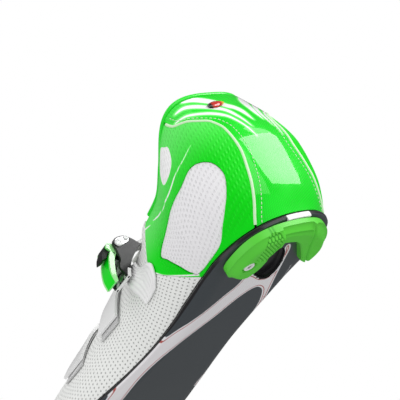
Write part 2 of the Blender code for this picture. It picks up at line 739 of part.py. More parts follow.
def surface_offset(around, height, out):
    """As on_upper, with a normal that agrees where the outer and inner halves meet."""
    if height > 0.995 or abs(around) > 2.995:
        a, b = upper_normal(abs(around), height), upper_normal(-abs(around), height)
        return upper(around, height) + (a + b).normalized() * out
    return on_upper(around, height, out)


def shell_closed_end(name, rows, columns, place, look):
    """A shell whose last row folds together on the middle line of the toe."""
    points = [place(i / (rows - 1), j / (columns - 1), layer)
              for layer in (0, 1) for i in range(rows) for j in range(columns)]
    count = rows * columns
    faces = grid_faces(rows, columns) + grid_faces(rows, columns, start=count, flip=True)
    for j in range(columns - 1):
        faces.append((j + 1, j, j + count, j + 1 + count))
    for i in range(rows - 1):
        a, b = i * columns, (i + 1) * columns
        faces.append((a, b, b + count, a + count))
        a, b = a + columns - 1, b + columns - 1
        faces.append((b, a, a + count, b + count))
    return add_mesh(name, points, faces, look)


def build_tongue():
    def place(u, v, layer):
        station = 76 + 106 * u
        c = (0.36 + 0.06 * u) * (1 - 2 * v)
        return across(station, c, -2.1 - layer * (3.5 - 1.2 * u))
    shell("tongue", 12, 9, place, "lining")


def build_badge():
    def place(u, v, layer):
        swell = math.sin(math.pi * min(1, 0.08 + 0.92 * u)) ** 0.6
        height = 0.83 + (v - 0.5) * 0.055 * swell + 0.02 * u
        return on_upper(0.17 - 0.165 * u, height, GAP + layer * 1.2)
    shell("heel_badge", 9, 7, place, "badge")


# ---------------------------------------------------------------- instep closure

def local_frame(degrees, radius, station=INSTEP_STATION):
    """X runs down the outer side along the strap, Y to the heel and Z away from the foot."""
    angle = math.radians(degrees)
    t = Vector((math.cos(angle), 0, -math.sin(angle)))
    n = Vector((math.sin(angle), 0, math.cos(angle)))
    spot = Vector((INSTEP_CENTRE[0] + radius * n.x, station_y(station), INSTEP_CENTRE[1] + radius * n.z))
    return Matrix(((t.x, 0, n.x, spot.x), (t.y, 1, n.y, spot.y), (t.z, 0, n.z, spot.z), (0, 0, 0, 1)))


def build_buckle():
    y = station_y(INSTEP_STATION)
    frame = local_frame(BUCKLE_ANGLE, FRAME_R)
    base = arc_slab("buckle_base", BUCKLE_START, BUCKLE_END, BASE_R, BASE_R + 1.2, y - HALF - 1.6,
                    y + HALF + 1.6, "black_nylon", 12)
    foot = [(x, 0.2 + math.sqrt(FRAME_R**2 - x**2) - FRAME_R) for x in (11, 8, 4, 0, -4, -8, -12, -14)]
    cheek = foot + [(-14.6, 4), (-13.2, 8), (-9, 11.7), (-4.8, 11.9), (-1.8, 8.5), (3, 5.4), (8.5, 4.6)]
    for k, low in enumerate((-HALF - 1.6, HALF)):
        weld(base, prism(f"guide_cheek_{k}", cheek, low, low + 1.6, "black_nylon", frame, axis="Y"))
    bore(base, "lever_pin", LEVER_PIN, 1.3, frame)
    bore(base, "hold_pin", HOLD_PIN, 1.0, frame)
    pivot_pin("lever_pin", frame, LEVER_PIN, 1.05, HALF + 1.8)
    pivot_pin("holding_pawl_pin", frame, HOLD_PIN, 0.75, HALF + 1.7)
    build_lever(frame)
    build_pawls(frame)


def bore(thing, word, at, radius, frame):
    """A hole along the buckle's local Y."""
    outline = circle(*at, radius)
    cut(thing, prism(f"cutter_{word}_{thing.name}", outline, -20, 20, "steel", frame, axis="Y"))


def circle(x, z, radius, sides=12):
    return arc_points(x, z, radius, 0, 360 - 360 / sides, sides)


def pivot_pin(name, frame, at, radius, reach):
    prism(name, circle(*at, radius), -reach, reach, "steel", frame, axis="Y")


def build_lever(frame):
    """The pull lever with two ears that hold the release tab's pin."""
    px, pz = LEVER_PIN
    outline = arc_points(px, pz, 2.9, 150, 290, 8)
    outline += [(px + 3, pz - 1.3), (px + 9, pz - 1.2), (px + 16, pz - 3.3), (px + 21.5, pz - 6.2),
                (px + 22.5, pz - 5.1), (px + 18, pz - 1.3), (px + 10, pz + 1.7), (px + 3, pz + 2.3)]
    side = HALF - 0.45
    lever = prism("buckle_lever", outline, -side, side, "green_gloss", frame,
                  frame @ Vector((px, 0, pz)), axis="Y")
    bevel(lever, 0.7, 1)
    ear = [(px + 0.2, pz + 0.8), (px + 5.2, pz + 0.8), (px + 4.2, pz + 5.3), (px + 1, pz + 5.3)]
    for k, low in enumerate((-side, side - 1.4)):
        weld(lever, prism(f"guide_ear_{k}", ear, low, low + 1.4, "green_gloss", frame, axis="Y"))
    bore(lever, "lever_pin", LEVER_PIN, 1.3, frame)
    fork = [(px + 8.3, pz - 8), (px + 8.3, pz + 1.2), (px + 2.1, pz + 1.2), (px + 2.1, pz - 8)]
    cut(lever, prism("cutter_lever_fork", fork, -3.1, 3.1, "steel", frame, axis="Y"))
    rx, rz = RELEASE_PIN
    tab = [(rx - 2.0, rz - 1.2), (rx + 7, rz - 1.6), (rx + 10, rz + 0.2), (rx + 6.5, rz + 1.2),
           (rx, rz + 1.4), (rx - 2.0, rz + 0.4)]
    release = prism("release_lever", tab, 2.2 - HALF, HALF - 2.2, "black_nylon", frame,
                    frame @ Vector((rx, 0, rz)), axis="Y")
    bevel(release, 0.4, 1)
    bore(lever, "release_pin", RELEASE_PIN, 0.75, frame)
    bore(release, "release_pin", RELEASE_PIN, 0.75, frame)
    pivot_pin("release_pin", frame, RELEASE_PIN, 0.5, HALF - 0.6)


def build_pawls(frame):
    dx, dz = DRIVE_PIN
    drive = arc_points(dx, dz, 1.05, 0, 180, 6)
    drive += [(dx - 0.9, dz - 3.6), (dx + 0.2, dz - 5.5), (dx + 1.5, dz - 3.4)]
    driver = prism("drive_pawl", drive, -2.6, 2.6, "steel", frame, frame @ Vector((dx, 0, dz)), axis="Y")
    bore(driver, "drive_pin", DRIVE_PIN, 0.65, frame)
    bore(bpy.data.objects["buckle_lever"], "drive_pin", DRIVE_PIN, 0.65, frame)
    pivot_pin("drive_pawl_pin", frame, DRIVE_PIN, 0.45, HALF - 0.6)
    hx, hz = HOLD_PIN
    hold = arc_points(hx, hz, 1.9, 60, 250, 8)
    hold += [(hx + 3.2, hz - 3.7), (hx + 4.6, hz - 3.1), (hx + 2.6, hz + 0.6)]
    pawl = prism("holding_pawl", hold, 0.6 - HALF, HALF - 0.6, "steel", frame,
                 frame @ Vector((hx, 0, hz)), axis="Y")
    bore(pawl, "hold_pin", HOLD_PIN, 1.0, frame)


def build_wings():
    """The outer wing lies on the quarter, rises to carry the buckle; the inner one lies flat."""
    def outer(u, v, layer):
        toe_edge, heel_edge = 103 - 16 * u, smooth(WING_HEEL_EDGE, u)
        station = toe_edge + (heel_edge - toe_edge) * v
        fade = min(1, max(0, (0.85 - u) / 0.35))
        rise = 2.4 * max(0, (station - 80) / 16) * fade * fade * (3 - 2 * fade)
        return on_upper(around_at(station), 0.84 - 0.53 * u, 0.45 + rise + 1.1 * layer)
    shell("instep_wing_outer", 13, 6, outer, "white_film")

    def inner(u, v, layer):
        station = INSTEP_STATION + 1 + 3 * u + (v - 0.5) * 18
        return across(station, -0.34 - 0.5 * u, 0.6 + 1.0 * layer)
    shell("instep_wing_inner", 9, 5, inner, "white_film")


def radial_screw(name, degrees, low, high, shank, head):
    """A pan-head screw along the instep circle's radius."""
    frame = local_frame(degrees, 0)
    made = lathe(name, [(0, low), (shank, low), (shank, high - 1.0), (head, high - 1.0),
                        (head, high - 0.5), (head - 0.7, high), (0, high)], "steel", frame, 14)
    slot = prism("cutter_slot_" + name, [(-0.9, -0.9), (0.9, -0.9), (0.9, 0.9), (-0.9, 0.9)],
                 high - 0.7, high + 2, "steel", frame)
    cut(made, slot)


def radial_bore(name, degrees, radius):
    return lathe(name, [(0, 25), (radius, 25), (radius, 45), (0, 45)], "steel", local_frame(degrees, 0), 12)


def build_closure():
    y = station_y(INSTEP_STATION)
    low, high = LADDER_R - 0.5, LADDER_R + 1.6
    plain = [LADDER_START + 7.5 * k for k in range(12)]
    profile = [(angle, high) for angle in plain]
    for k in range(round((LADDER_END - TEETH_START) / TOOTH)):
        foot = TEETH_START + TOOTH * k
        profile += [(foot, high), (foot + 0.3, high - 0.9), (foot + 0.5 * TOOTH, high - 0.45)]
    profile.append((LADDER_END, high - 0.9))
    under = [(LADDER_END + (LADDER_START - LADDER_END) * k / 22, low) for k in range(23)]
    axis = (INSTEP_CENTRE[0], y, INSTEP_CENTRE[1])
    ladder = prism("ladder_strap", on_circle(profile + under), y - LADDER_WIDTH / 2, y + LADDER_WIDTH / 2,
                   "black_nylon", origin=axis, axis="Y")
    cut(ladder, arc_slab("cutter_ladder_slot", ANCHOR_ANGLE - 8.5, ANCHOR_ANGLE + 8.5, 30, 40,
                         y - 2.2, y + 2.2, "steel", 6))
    build_wings()
    build_buckle()
    for name in ("instep_wing_outer", "buckle_base"):
        cut(bpy.data.objects[name], radial_bore("cutter_screw_" + name, BUCKLE_SCREW_ANGLE, 1.5))
    radial_screw("buckle_screw", BUCKLE_SCREW_ANGLE, 29.6, 35.6, 1.15, 2.3)
    plate = arc_slab("ladder_anchor_plate", ANCHOR_ANGLE - 10, ANCHOR_ANGLE + 10, LADDER_R - 2.3,
                     LADDER_R - 0.5 - GAP, y - 5, y + 5, "steel", 4)
    cut(plate, radial_bore("cutter_anchor_screw", ANCHOR_ANGLE, 1.8))
    radial_screw("ladder_anchor_screw", ANCHOR_ANGLE, LADDER_R - 2.2, LADDER_R + 3.0, 1.4, 3.1)
    arc_slab("instep_pad", -27, 12, LADDER_R - 3.0, LADDER_R - 0.5 - GAP, y - 13, y + 9, "lining", 8)
    build_straps()


def build_straps():
    """Two hook-and-loop straps: each is sewn to the inner side and lands on a patch outside."""
    for word, (station, width) in STRAPS.items():
        def ribbon(c_from, c_to, out, thick, wide):
            def place(u, v, layer):
                return across(station + (v - 0.5) * wide, c_from + (c_to - c_from) * u, out + thick * layer)
            return place
        shell(f"strap_{word}", 21, 3, ribbon(0.62, -0.5, STRAP_OUT, STRAP_THICK, width), "white_film")
        shell(f"strap_{word}_landing", 7, 3, ribbon(0.3, 0.66, 0.4, 0.8, width - 2), "foam")
        shell(f"strap_{word}_anchor", 6, 3, ribbon(-0.56, -0.8, 0.35, 0.9, width + 4), "white_film")


clear_scene()
build_sole()
build_treads()
build_upper()
build_closure()
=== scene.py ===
"""Looks of a left-foot road cycling shoe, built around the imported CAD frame.

Lengths in this script are millimetres in the row frame (+X outer side, +Y heel, +Z up) until a
mesh is written, when MM turns them into metres. The upper is drawn on the same surface as the CAD:
`around` runs from 0 at the middle of the heel over 1 and 2 at the side's ends to 3 at the toe tip,
negative on the inner side, and `height` runs from 0 at the sole's rim to 1 at the collar or ridge.
"""

import math

import bmesh
import bpy
import numpy as np
from mathutils import Matrix, Vector


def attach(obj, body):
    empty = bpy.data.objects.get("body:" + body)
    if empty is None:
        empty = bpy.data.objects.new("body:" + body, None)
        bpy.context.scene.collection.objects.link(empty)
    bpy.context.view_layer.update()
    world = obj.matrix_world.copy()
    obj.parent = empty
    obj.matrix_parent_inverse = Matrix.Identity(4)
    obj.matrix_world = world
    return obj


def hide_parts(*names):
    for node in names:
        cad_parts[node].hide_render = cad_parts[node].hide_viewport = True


MM = 0.001
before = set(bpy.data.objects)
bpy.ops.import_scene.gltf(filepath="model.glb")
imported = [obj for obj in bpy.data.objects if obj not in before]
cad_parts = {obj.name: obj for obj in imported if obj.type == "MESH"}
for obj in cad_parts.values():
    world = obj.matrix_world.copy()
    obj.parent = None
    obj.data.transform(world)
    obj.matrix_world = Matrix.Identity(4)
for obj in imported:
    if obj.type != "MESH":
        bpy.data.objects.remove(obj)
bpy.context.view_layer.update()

# ------------------------------------------------------------------ the CAD's driving dimensions

HEEL_BACK_Y = 6.0
HEEL_TURN, TOE_TURN, TOE_TIP = 34.0, 246.0, 285.0
OUTER, INNER = 1, -1
# Stations forward from the back of the heel: rim x, rim z, side bulge, top x, top z, flatness.
SIDE = {
    OUTER: [
        (34, 32.5, 11.5, 8.0, 30.5, 67.5, 0.0),
        (48, 31.2, 11.2, 7.5, 28.5, 60.0, 0.0),
        (66, 29.2, 10.6, 7.0, 26.5, 58.0, 0.1),
        (84, 27.8, 9.4, 6.0, 20.0, 53.8, 0.4),
        (100, 28.2, 8.6, 4.5, 16.0, 53.5, 0.75),
        (125, 31.5, 8.0, 2.5, 12.0, 52.5, 0.9),
        (160, 40.0, 8.0, 1.5, 8.0, 49.0, 1.0),
        (200, 45.5, 8.2, 1.5, 3.0, 46.0, 1.0),
        (225, 42.0, 9.0, 1.0, -3.0, 43.0, 1.0),
        (246, 34.0, 11.0, 0.8, -6.0, 40.0, 1.0),
    ],
    INNER: [
        (34, 34.0, 11.5, 9.0, 30.0, 67.5, 0.0),
        (48, 32.8, 11.7, 8.5, 29.0, 60.0, 0.0),
        (66, 31.6, 12.2, 7.5, 27.5, 58.5, 0.1),
        (84, 31.0, 12.6, 5.8, 20.0, 54.3, 0.4),
        (100, 31.4, 12.4, 5.0, 16.0, 54.0, 0.75),
        (125, 34.0, 11.0, 4.0, 12.0, 53.0, 0.9),
        (160, 39.5, 9.5, 3.0, 8.0, 49.5, 1.0),
        (200, 44.5, 8.5, 2.5, -3.0, 46.0, 1.0),
        (225, 45.0, 9.0, 1.5, 3.0, 43.0, 1.0),
        (246, 41.0, 11.0, 1.0, 6.0, 40.0, 1.0),
    ],
}
HEEL_LINE = [(0, 0.0, 11.5), (0.25, -5.0, 31.0), (0.5, -5.8, 51.0),
             (0.75, -1.5, 71.0), (0.9, 3.5, 83.0), (1, 6.5, 90.0)]
TOE_LINE = [(0, TOE_TIP, 16.0), (0.25, 286.0, 20.5), (0.5, 282.0, 27.0),
            (0.75, 274.0, 33.0), (1, 262.0, 37.5)]
COLLAR_RISE = [(6.5, 90.0), (20.0, 79.5), (34.0, 67.5), (48.0, 60.0), (66.0, 58.0)]
TOE_TIP_X = -9.0
HEEL_SKIN_Z, BALL_SKIN_Z = 6.3, 2.7
SOLE_BOTTOM = [(0, HEEL_SKIN_Z), (40, HEEL_SKIN_Z), (60, 5.2), (84, 4.1), (115, 3.4),
               (150, BALL_SKIN_Z), (232, BALL_SKIN_Z), (250, 5.2), (268, 8.4), (286, 12.0)]
SOLE_SKIN, RIM_WIDTH = 4.0, 3.4
COUNTER_SEAM = [(0, 0.46), (0.14, 0.34), (0.32, 0.25), (0.47, 0.21), (0.62, 0.215),
                (0.71, 0.27), (0.76, 0.39), (0.85, 0.6), (1, 0.68)]
COUNTER_TOP, QUARTER_TOP = 0.966, 0.952
QUARTER_FRONT = [(0, 1.05), (0.22, 1.11), (0.53, 1.178), (0.78, 1.155), (1, 1.135)]
WINDOW = [(0.69, 0.52), (0.59, 0.5), (0.48, 0.445), (0.445, 0.35), (0.51, 0.25), (0.6, 0.175),
          (0.7, 0.11), (0.81, 0.045), (0.93, 0.024), (1.04, 0.026), (1.063, 0.09), (1.075, 0.215),
          (1.095, 0.365), (1.11, 0.47), (1.06, 0.555), (0.985, 0.56), (0.835, 0.513)]
WINDOW_MIDDLE, WINDOW_POINTS = (0.78, 0.28), 260
VAMP_START = 198.0
SEAM_GAP = 0.024
TONGUE_RISE = [(60, 8.0), (92, 4.5), (125, 3.5), (160, 2.5), (198, 1.2)]
THROAT = 0.25
CLEAT_STATION = 190.0
CLEAT_HOLES = [(2.0, CLEAT_STATION + 14.0), (-16.25, CLEAT_STATION - 14.0),
               (20.25, CLEAT_STATION - 14.0)]
INSTEP_CENTRE, INSTEP_STATION = (0.0, 29.0), 96.0
BOARD_GAP, BOARD_THICK = 0.35, 1.5
LADDER_R, LADDER_WIDTH = 35.0, 10.0
LEVEL = Matrix.Identity(4)
BUCKLE_ANGLE, BUCKLE_R = 47.0, 33.4
BUCKLE_START, BUCKLE_END, BUCKLE_LOW, BUCKLE_HIGH, BUCKLE_CHEEK = 29, 65, 33.0, 34.2, 1.6
LEVER_PIN, RELEASE_PIN, DRIVE_PIN, HOLD_PIN = (-6.5, 9.2), (-4.0, 13.4), (-1.1, 9.1), (-12.0, 6.3)
LEVER_BORE, RELEASE_BORE, DRIVE_BORE, HOLD_BORE = 1.3, 0.75, 0.65, 1.0
HEEL_SCREW = (23.0, -17.5)
TEETH_START, LADDER_END = 15.6, 50.8
WING_HEEL_EDGE = [(0, 88.0), (0.17, 85.0), (0.68, 65.5), (0.85, 67.0), (1, 73.0)]
STRAPS = {"middle": (127.0, 20.0), "front": (166.0, 20.0)}
STRAP_OUT, STRAP_THICK = 1.6, 1.7


# ------------------------------------------------------------------ the shoe's surface, for arrays

def smooth(table, x, column=1):
    """Monotone cubic through a table's first column and the given one."""
    rows = np.array(table, float)
    xs, ys = rows[:, 0], rows[:, column]
    step = np.diff(xs)
    rise = np.diff(ys) / step
    slope = np.concatenate([rise[:1], np.zeros(len(xs) - 2), rise[-1:]])
    turns = rise[:-1] * rise[1:] > 0
    pair = np.where(turns, rise[:-1] + rise[1:], 1.0)
    slope[1:-1] = np.where(turns, 2 * rise[:-1] * rise[1:] / pair, 0.0)
    x = np.asarray(x, float)
    i = np.clip(np.searchsorted(xs, x, side="right") - 1, 0, len(xs) - 2)
    h = step[i]
    t = np.clip((x - xs[i]) / h, 0, 1)
    return ((2 * t**3 - 3 * t**2 + 1) * ys[i] + (t**3 - 2 * t**2 + t) * slope[i] * h
            + (3 * t**2 - 2 * t**3) * ys[i + 1] + (t**3 - t**2) * slope[i + 1] * h)


def bezier(p, t):
    r = 1 - t
    return r**3 * p[0] + 3 * r * r * t * p[1] + 3 * r * t * t * p[2] + t**3 * p[3]


def side_point(side, station, height):
    rim_x, rim_z, bulge, top_x, top_z, flat = (smooth(SIDE[side], station, k) for k in range(1, 7))
    top_z = np.where(station < COLLAR_RISE[-1][0], smooth(COLLAR_RISE, station), top_z)
    tall = top_z - rim_z
    low = (rim_x + 1.6 * bulge, rim_z + tall * (0.33 + 0.07 * flat))
    steep = (top_x + 0.25 * (rim_x - top_x) + 0.9 * bulge, top_z - 0.33 * tall)
    level = (top_x + 0.3 * (rim_x - top_x), top_z - 0.08 * tall)
    high = [steep[k] * (1 - flat) + level[k] * flat for k in (0, 1)]
    return (side * bezier([rim_x, low[0], high[0], top_x], height),
            bezier([rim_z, low[1], high[1], top_z], height))


def half_upper(side, a, height):
    """The upper on one side, for `a` of 0 or more."""
    fullness = 2.3 + (0.3 * height if side == OUTER else 0.7 * np.minimum(1, 2 * height))
    turn = (1 - np.clip(a, 0, 1)) * math.pi / 2
    c = np.maximum(0, np.cos(turn)) ** (2 / fullness)
    s = np.maximum(0, np.sin(turn)) ** (2 / fullness)
    back, back_z = smooth(HEEL_LINE, height, 1), smooth(HEEL_LINE, height, 2)
    x, _ = side_point(side, HEEL_TURN, height)
    station = HEEL_TURN - (HEEL_TURN - back) * s
    _, z = side_point(side, np.maximum(6.5, station), height)
    heel = [x * c, station, z * (1 - s * s) + back_z * s * s]

    station = HEEL_TURN + (np.clip(a, 1, 2) - 1) * (TOE_TURN - HEEL_TURN)
    x, z = side_point(side, station, height)
    middle = [x, station, z]

    x, z = side_point(side, TOE_TURN, height)
    ridge, _ = side_point(side, TOE_TURN, 1.0)
    front, front_z = smooth(TOE_LINE, height, 1), smooth(TOE_LINE, height, 2)
    turn = (np.clip(a, 2, 3) - 2) * math.pi / 2
    c, s = np.maximum(0, np.cos(turn)) ** (2 / 2.2), np.maximum(0, np.sin(turn)) ** (2 / 2.2)
    toe = [ridge + (TOE_TIP_X - ridge) * s + (x - ridge) * c, TOE_TURN + (front - TOE_TURN) * s,
           z * (1 - s * s) + front_z * s * s]
    parts = [np.where(a < 1, h, np.where(a <= 2, m, t)) for h, m, t in zip(heel, middle, toe)]
    return np.stack(np.broadcast_arrays(parts[0], HEEL_BACK_Y - parts[1], parts[2]), -1)


def upper(around, height):
    around, height = np.broadcast_arrays(np.asarray(around, float), np.asarray(height, float))
    a = np.abs(around)
    outer = around >= 0
    return np.where(outer[..., None], half_upper(OUTER, a, height), half_upper(INNER, a, height))


def unit(v):
    return v / np.maximum(1e-9, np.linalg.norm(v, axis=-1, keepdims=True))


def upper_normal(around, height):
    around, height = np.broadcast_arrays(np.asarray(around, float), np.asarray(height, float))
    h0, h1 = np.maximum(0, height - 0.01), np.minimum(1, height + 0.01)
    end = np.abs(around) > 2.97
    a0 = np.where(end, around - 0.04, around - 0.02)
    a1 = np.where(end, around, around + 0.02)
    up = upper(around, h1) - upper(around, h0)
    return -unit(np.cross(upper(a1, height) - upper(a0, height), up))


def on_upper(around, height, out=0.0):
    return upper(around, height) + upper_normal(around, height) * np.asarray(out)[..., None]


def around_at(station):
    return 1 + (station - HEEL_TURN) / (TOE_TURN - HEEL_TURN)


def across(station, c, out=0.0):
    """On the section over the instep: c is 1 at the outer rim, -1 at the inner rim."""
    def place(c):
        a = around_at(station) * np.where(c > 0, 1, -1)
        side = upper(a, np.clip((1 - np.abs(c)) / (1 - THROAT), 0, 1))
        left, right = upper(around_at(station), 1.0), upper(-around_at(station), 1.0)
        t = np.clip((THROAT - c) / (2 * THROAT), 0, 1)[..., None]
        middle = left * (1 - t) + right * t
        middle[..., 2] += smooth(TONGUE_RISE, station) * (1 - np.clip(np.abs(c) / THROAT, 0, 1) ** 2)
        return np.where((np.abs(c) >= THROAT)[..., None], side, middle)

    station, c = np.broadcast_arrays(np.asarray(station, float), np.asarray(c, float))
    step = place(np.minimum(1, c + 0.02)) - place(np.maximum(-1, c - 0.02))
    normal = unit(np.cross(step, np.array([0.0, 1.0, 0.0])))
    return place(c) + normal * np.asarray(out)[..., None]


def station_y(station):
    return HEEL_BACK_Y - station


def bottom_z(station):
    return smooth(SOLE_BOTTOM, station)


def spline(points, count, closed=False):
    """A Catmull-Rom curve through points of any dimension, as `count` points."""
    p = np.array(points, float)
    n = len(p)
    before, after = (p[-1:], p[:2]) if closed else (2 * p[:1] - p[1:2], 2 * p[-1:] - p[-2:-1])
    p = np.concatenate([before, p, after])
    spans = n if closed else n - 1
    where = np.linspace(0, spans, count, endpoint=not closed)
    i = np.minimum(where.astype(int), spans - 1)
    t = (where - i)[:, None]
    a, b, c, d = p[i], p[i + 1], p[i + 2], p[i + 3]
    return 0.5 * (2 * b + (c - a) * t + (2 * a - 5 * b + 4 * c - d) * t**2
                  + (3 * b - a - 3 * c + d) * t**3)


def local_frame(degrees, radius, station=INSTEP_STATION):
    """X runs down the outer side along the strap, Y to the heel and Z away from the foot."""
    angle = math.radians(degrees)
    t = Vector((math.cos(angle), 0, -math.sin(angle)))
    n = Vector((math.sin(angle), 0, math.cos(angle)))
    spot = Vector((INSTEP_CENTRE[0] + radius * n.x, station_y(station), INSTEP_CENTRE[1] + radius * n.z))
    return Matrix(((t.x, 0, n.x, spot.x), (t.y, 1, n.y, spot.y), (t.z, 0, n.z, spot.z), (0, 0, 0, 1)))


# ------------------------------------------------------------------ strokes painted on a surface

def stroke(points, line, width):
    """Distance of each point from the edge of a stroke, negative inside it. Width may vary."""
    line = np.asarray(line, float)
    half = np.broadcast_to(np.asarray(width, float) / 2, (len(line),))
    flat = points.reshape(-1, points.shape[-1])
    best = np.full(len(flat), 1e9)
    for i in range(len(line) - 1):
        a, b = line[i], line[i + 1]
        d = b - a
        t = np.clip((flat - a) @ d / max(1e-9, d @ d), 0, 1)
        gap = np.linalg.norm(flat - a - t[:, None] * d, axis=1) - (half[i] * (1 - t) + half[i + 1] * t)
        best = np.minimum(best, gap)
    return best.reshape(points.shape[:-1])


def fill(points, outline):
    """Distance in plan from a closed outline, negative inside it."""
    flat = points[..., :2].reshape(-1, 2)
    edge = stroke(flat, np.concatenate([outline, outline[:1]]), 0.0)
    x, y = flat.T
    inside = np.zeros(len(flat), bool)
    for (ax, ay), (bx, by) in zip(outline, np.roll(outline, -1, 0)):
        if ay != by:
            inside ^= ((ay > y) != (by > y)) & (x < ax + (y - ay) * (bx - ax) / (by - ay))
    return np.where(inside, -edge, edge).reshape(points.shape[:-1])


HEEL_RUN, NET_HEIGHT = 72.0, 52.0


def net(a, h):
    """Flat millimetre coordinates over the upper, for outlines drawn on it."""
    a = np.abs(np.asarray(a, float))
    run = np.where(a < 1, a * HEEL_RUN, HEEL_RUN + (a - 1) * (TOE_TURN - HEEL_TURN))
    return np.stack([run, np.asarray(h) * NET_HEIGHT], -1)


def taper(count, start, middle, end, power=1.0):
    """Widths that swell from `start` to `middle` and thin again to `end`."""
    t = np.linspace(0, 1, count)
    swell = np.sin(math.pi * t) ** power
    return start * (1 - t) + end * t + middle * swell


# ------------------------------------------------------------------ meshes

def write_mesh(name, points, faces, uv=None, marks=None, smooth_angle=40):
    """An object from millimetre points. uv and marks hold one row or number for each point."""
    mesh = bpy.data.meshes.new(name)
    mesh.from_pydata((np.asarray(points, float) * MM).tolist(), [], faces)
    for word, values in (marks or {}).items():
        layer = mesh.attributes.new(word, "FLOAT", "POINT")
        layer.data.foreach_set("value", np.asarray(values, np.float32).ravel())
    if uv is not None:
        corners = np.zeros(len(mesh.loops), np.int32)
        mesh.loops.foreach_get("vertex_index", corners)
        layer = mesh.uv_layers.new(name="millimetres")
        layer.data.foreach_set("uv", np.asarray(uv, np.float32)[corners].ravel())
    work = bmesh.new()
    work.from_mesh(mesh)
    bmesh.ops.remove_doubles(work, verts=work.verts, dist=1e-7)
    bmesh.ops.recalc_face_normals(work, faces=work.faces)
    if work.calc_volume(signed=True) < 0:
        bmesh.ops.reverse_faces(work, faces=work.faces)
    work.to_mesh(mesh)
    work.free()
    mesh.shade_smooth()
    mesh.set_sharp_from_angle(angle=math.radians(smooth_angle))
    made = bpy.data.objects.new(name, mesh)
    bpy.context.scene.collection.objects.link(made)
    return made


def finish_piece(made, look, slot, *nodes, body="shoe"):
    """Gives a piece its look and the body it rides, and hides the CAD nodes it stands for; the slot is not
    used.
    """
    made.data.materials.clear()
    made.data.materials.append(LOOKS[look])
    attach(made, body)
    if nodes:
        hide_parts(*nodes)


def round_edges(made, width=0.3, segments=2, angle=50):
    edge = made.modifiers.new("edges", "BEVEL")
    edge.width = width * MM
    edge.segments = segments
    edge.limit_method = "ANGLE"
    edge.angle_limit = math.radians(angle)
    edge.harden_normals = True
    return made


def lengths(grid, axis):
    """Running length along one axis of a grid of points, averaged over the other."""
    step = np.linalg.norm(np.diff(grid, axis=axis), axis=2).mean(axis=1 - axis)
    return np.concatenate([[0], np.cumsum(step)])


def wrap(index):
    """A grid of point numbers whose columns close on themselves."""
    return np.concatenate([index, index[:, :1]], axis=1)


def quads(index):
    """Faces over a grid of point numbers."""
    return np.stack([index[:-1, :-1], index[:-1, 1:], index[1:, 1:], index[1:, :-1]], -1).reshape(-1, 4)


def skin(name, top, under, marks=None, ring=False):
    """A closed shell from two grids of points. With `ring`, the columns close on themselves."""
    rows, columns = top.shape[:2]
    index = np.arange(rows * columns).reshape(rows, columns)
    if ring:
        index = wrap(index)
    count = rows * columns
    faces = np.concatenate([quads(index), quads(index)[:, ::-1] + count])
    rims = [index[0, :], index[-1, ::-1]]
    if not ring:
        rims += [index[::-1, 0], index[:, -1]]
    sides = [np.stack([r[1:], r[:-1], r[:-1] + count, r[1:] + count], -1) for r in rims]
    faces = np.concatenate([faces, *sides]).tolist()
    uv = np.stack(np.meshgrid(lengths(top, 0), lengths(top, 1), indexing="ij"), -1).reshape(-1, 2)
    points = np.concatenate([top.reshape(-1, 3), under.reshape(-1, 3)])
    both = {word: np.concatenate([m.ravel(), m.ravel()]) for word, m in (marks or {}).items()}
    return write_mesh(name, points, faces, np.concatenate([uv, uv]), both)


def tube(name, path, radius, sides, up=(0.0, 0.0, 1.0)):
    """A round bar along a path."""
    tangent = unit(np.gradient(path, axis=0))
    first = unit(np.cross(tangent, up))
    second = np.cross(first, tangent)
    angle = np.linspace(0, 2 * math.pi, sides, endpoint=False)
    ring = path[:, None] + radius * (np.cos(angle)[:, None] * first[:, None]
                                     + np.sin(angle)[:, None] * second[:, None])
    count = len(path)
    faces = quads(wrap(np.arange(count * sides).reshape(count, sides))).tolist()
    faces += [list(range(sides)), list(range(count * sides - 1, (count - 1) * sides - 1, -1))]
    along = np.repeat(lengths(ring, 0)[:, None], sides, 1)
    about = np.repeat((np.arange(sides) / sides)[None, :], count, 0)
    return write_mesh(name, ring.reshape(-1, 3), faces, np.stack([along, about], -1).reshape(-1, 2))


def resample(path, pitch):
    """Points along a path at an even pitch."""
    path = np.asarray(path, float)
    run = np.concatenate([[0], np.cumsum(np.linalg.norm(np.diff(path, axis=0), axis=1))])
    where = np.arange(0, run[-1], pitch)
    return np.stack([np.interp(where, run, path[:, k]) for k in range(path.shape[1])], -1)


def stitches(name, path, normals, look, slot, pitch, length, thick):
    """Short thread stitches sunk a little into the surface, as one mesh of small closed grains."""
    both = resample(np.concatenate([path, normals], axis=1), pitch)
    spots, up = both[:, :3], unit(both[:, 3:])
    along = unit(np.gradient(spots, axis=0))
    sideways = unit(np.cross(along, up))
    points, faces = [], []
    ends, sides = np.linspace(-1, 1, 5), 6
    for spot, n, t, b in zip(spots, up, along, sideways):
        start = len(points)
        for e in ends:
            lift = 0.75 * math.sqrt(max(0, 1 - e * e)) - 0.1
            wide = thick * max(0.25, math.sqrt(max(0, 1 - e**4)))
            for angle in np.linspace(0, 2 * math.pi, sides, endpoint=False):
                points.append(spot + t * e * length / 2 + n * (thick * lift + wide * math.sin(angle))
                              + b * wide * math.cos(angle))
        grid = start + np.arange(len(ends) * sides).reshape(len(ends), sides)
        faces += quads(wrap(grid)).tolist() + [grid[0, ::-1].tolist(), grid[-1].tolist()]
    finish_piece(write_mesh(name, points, faces, smooth_angle=80), look, slot)


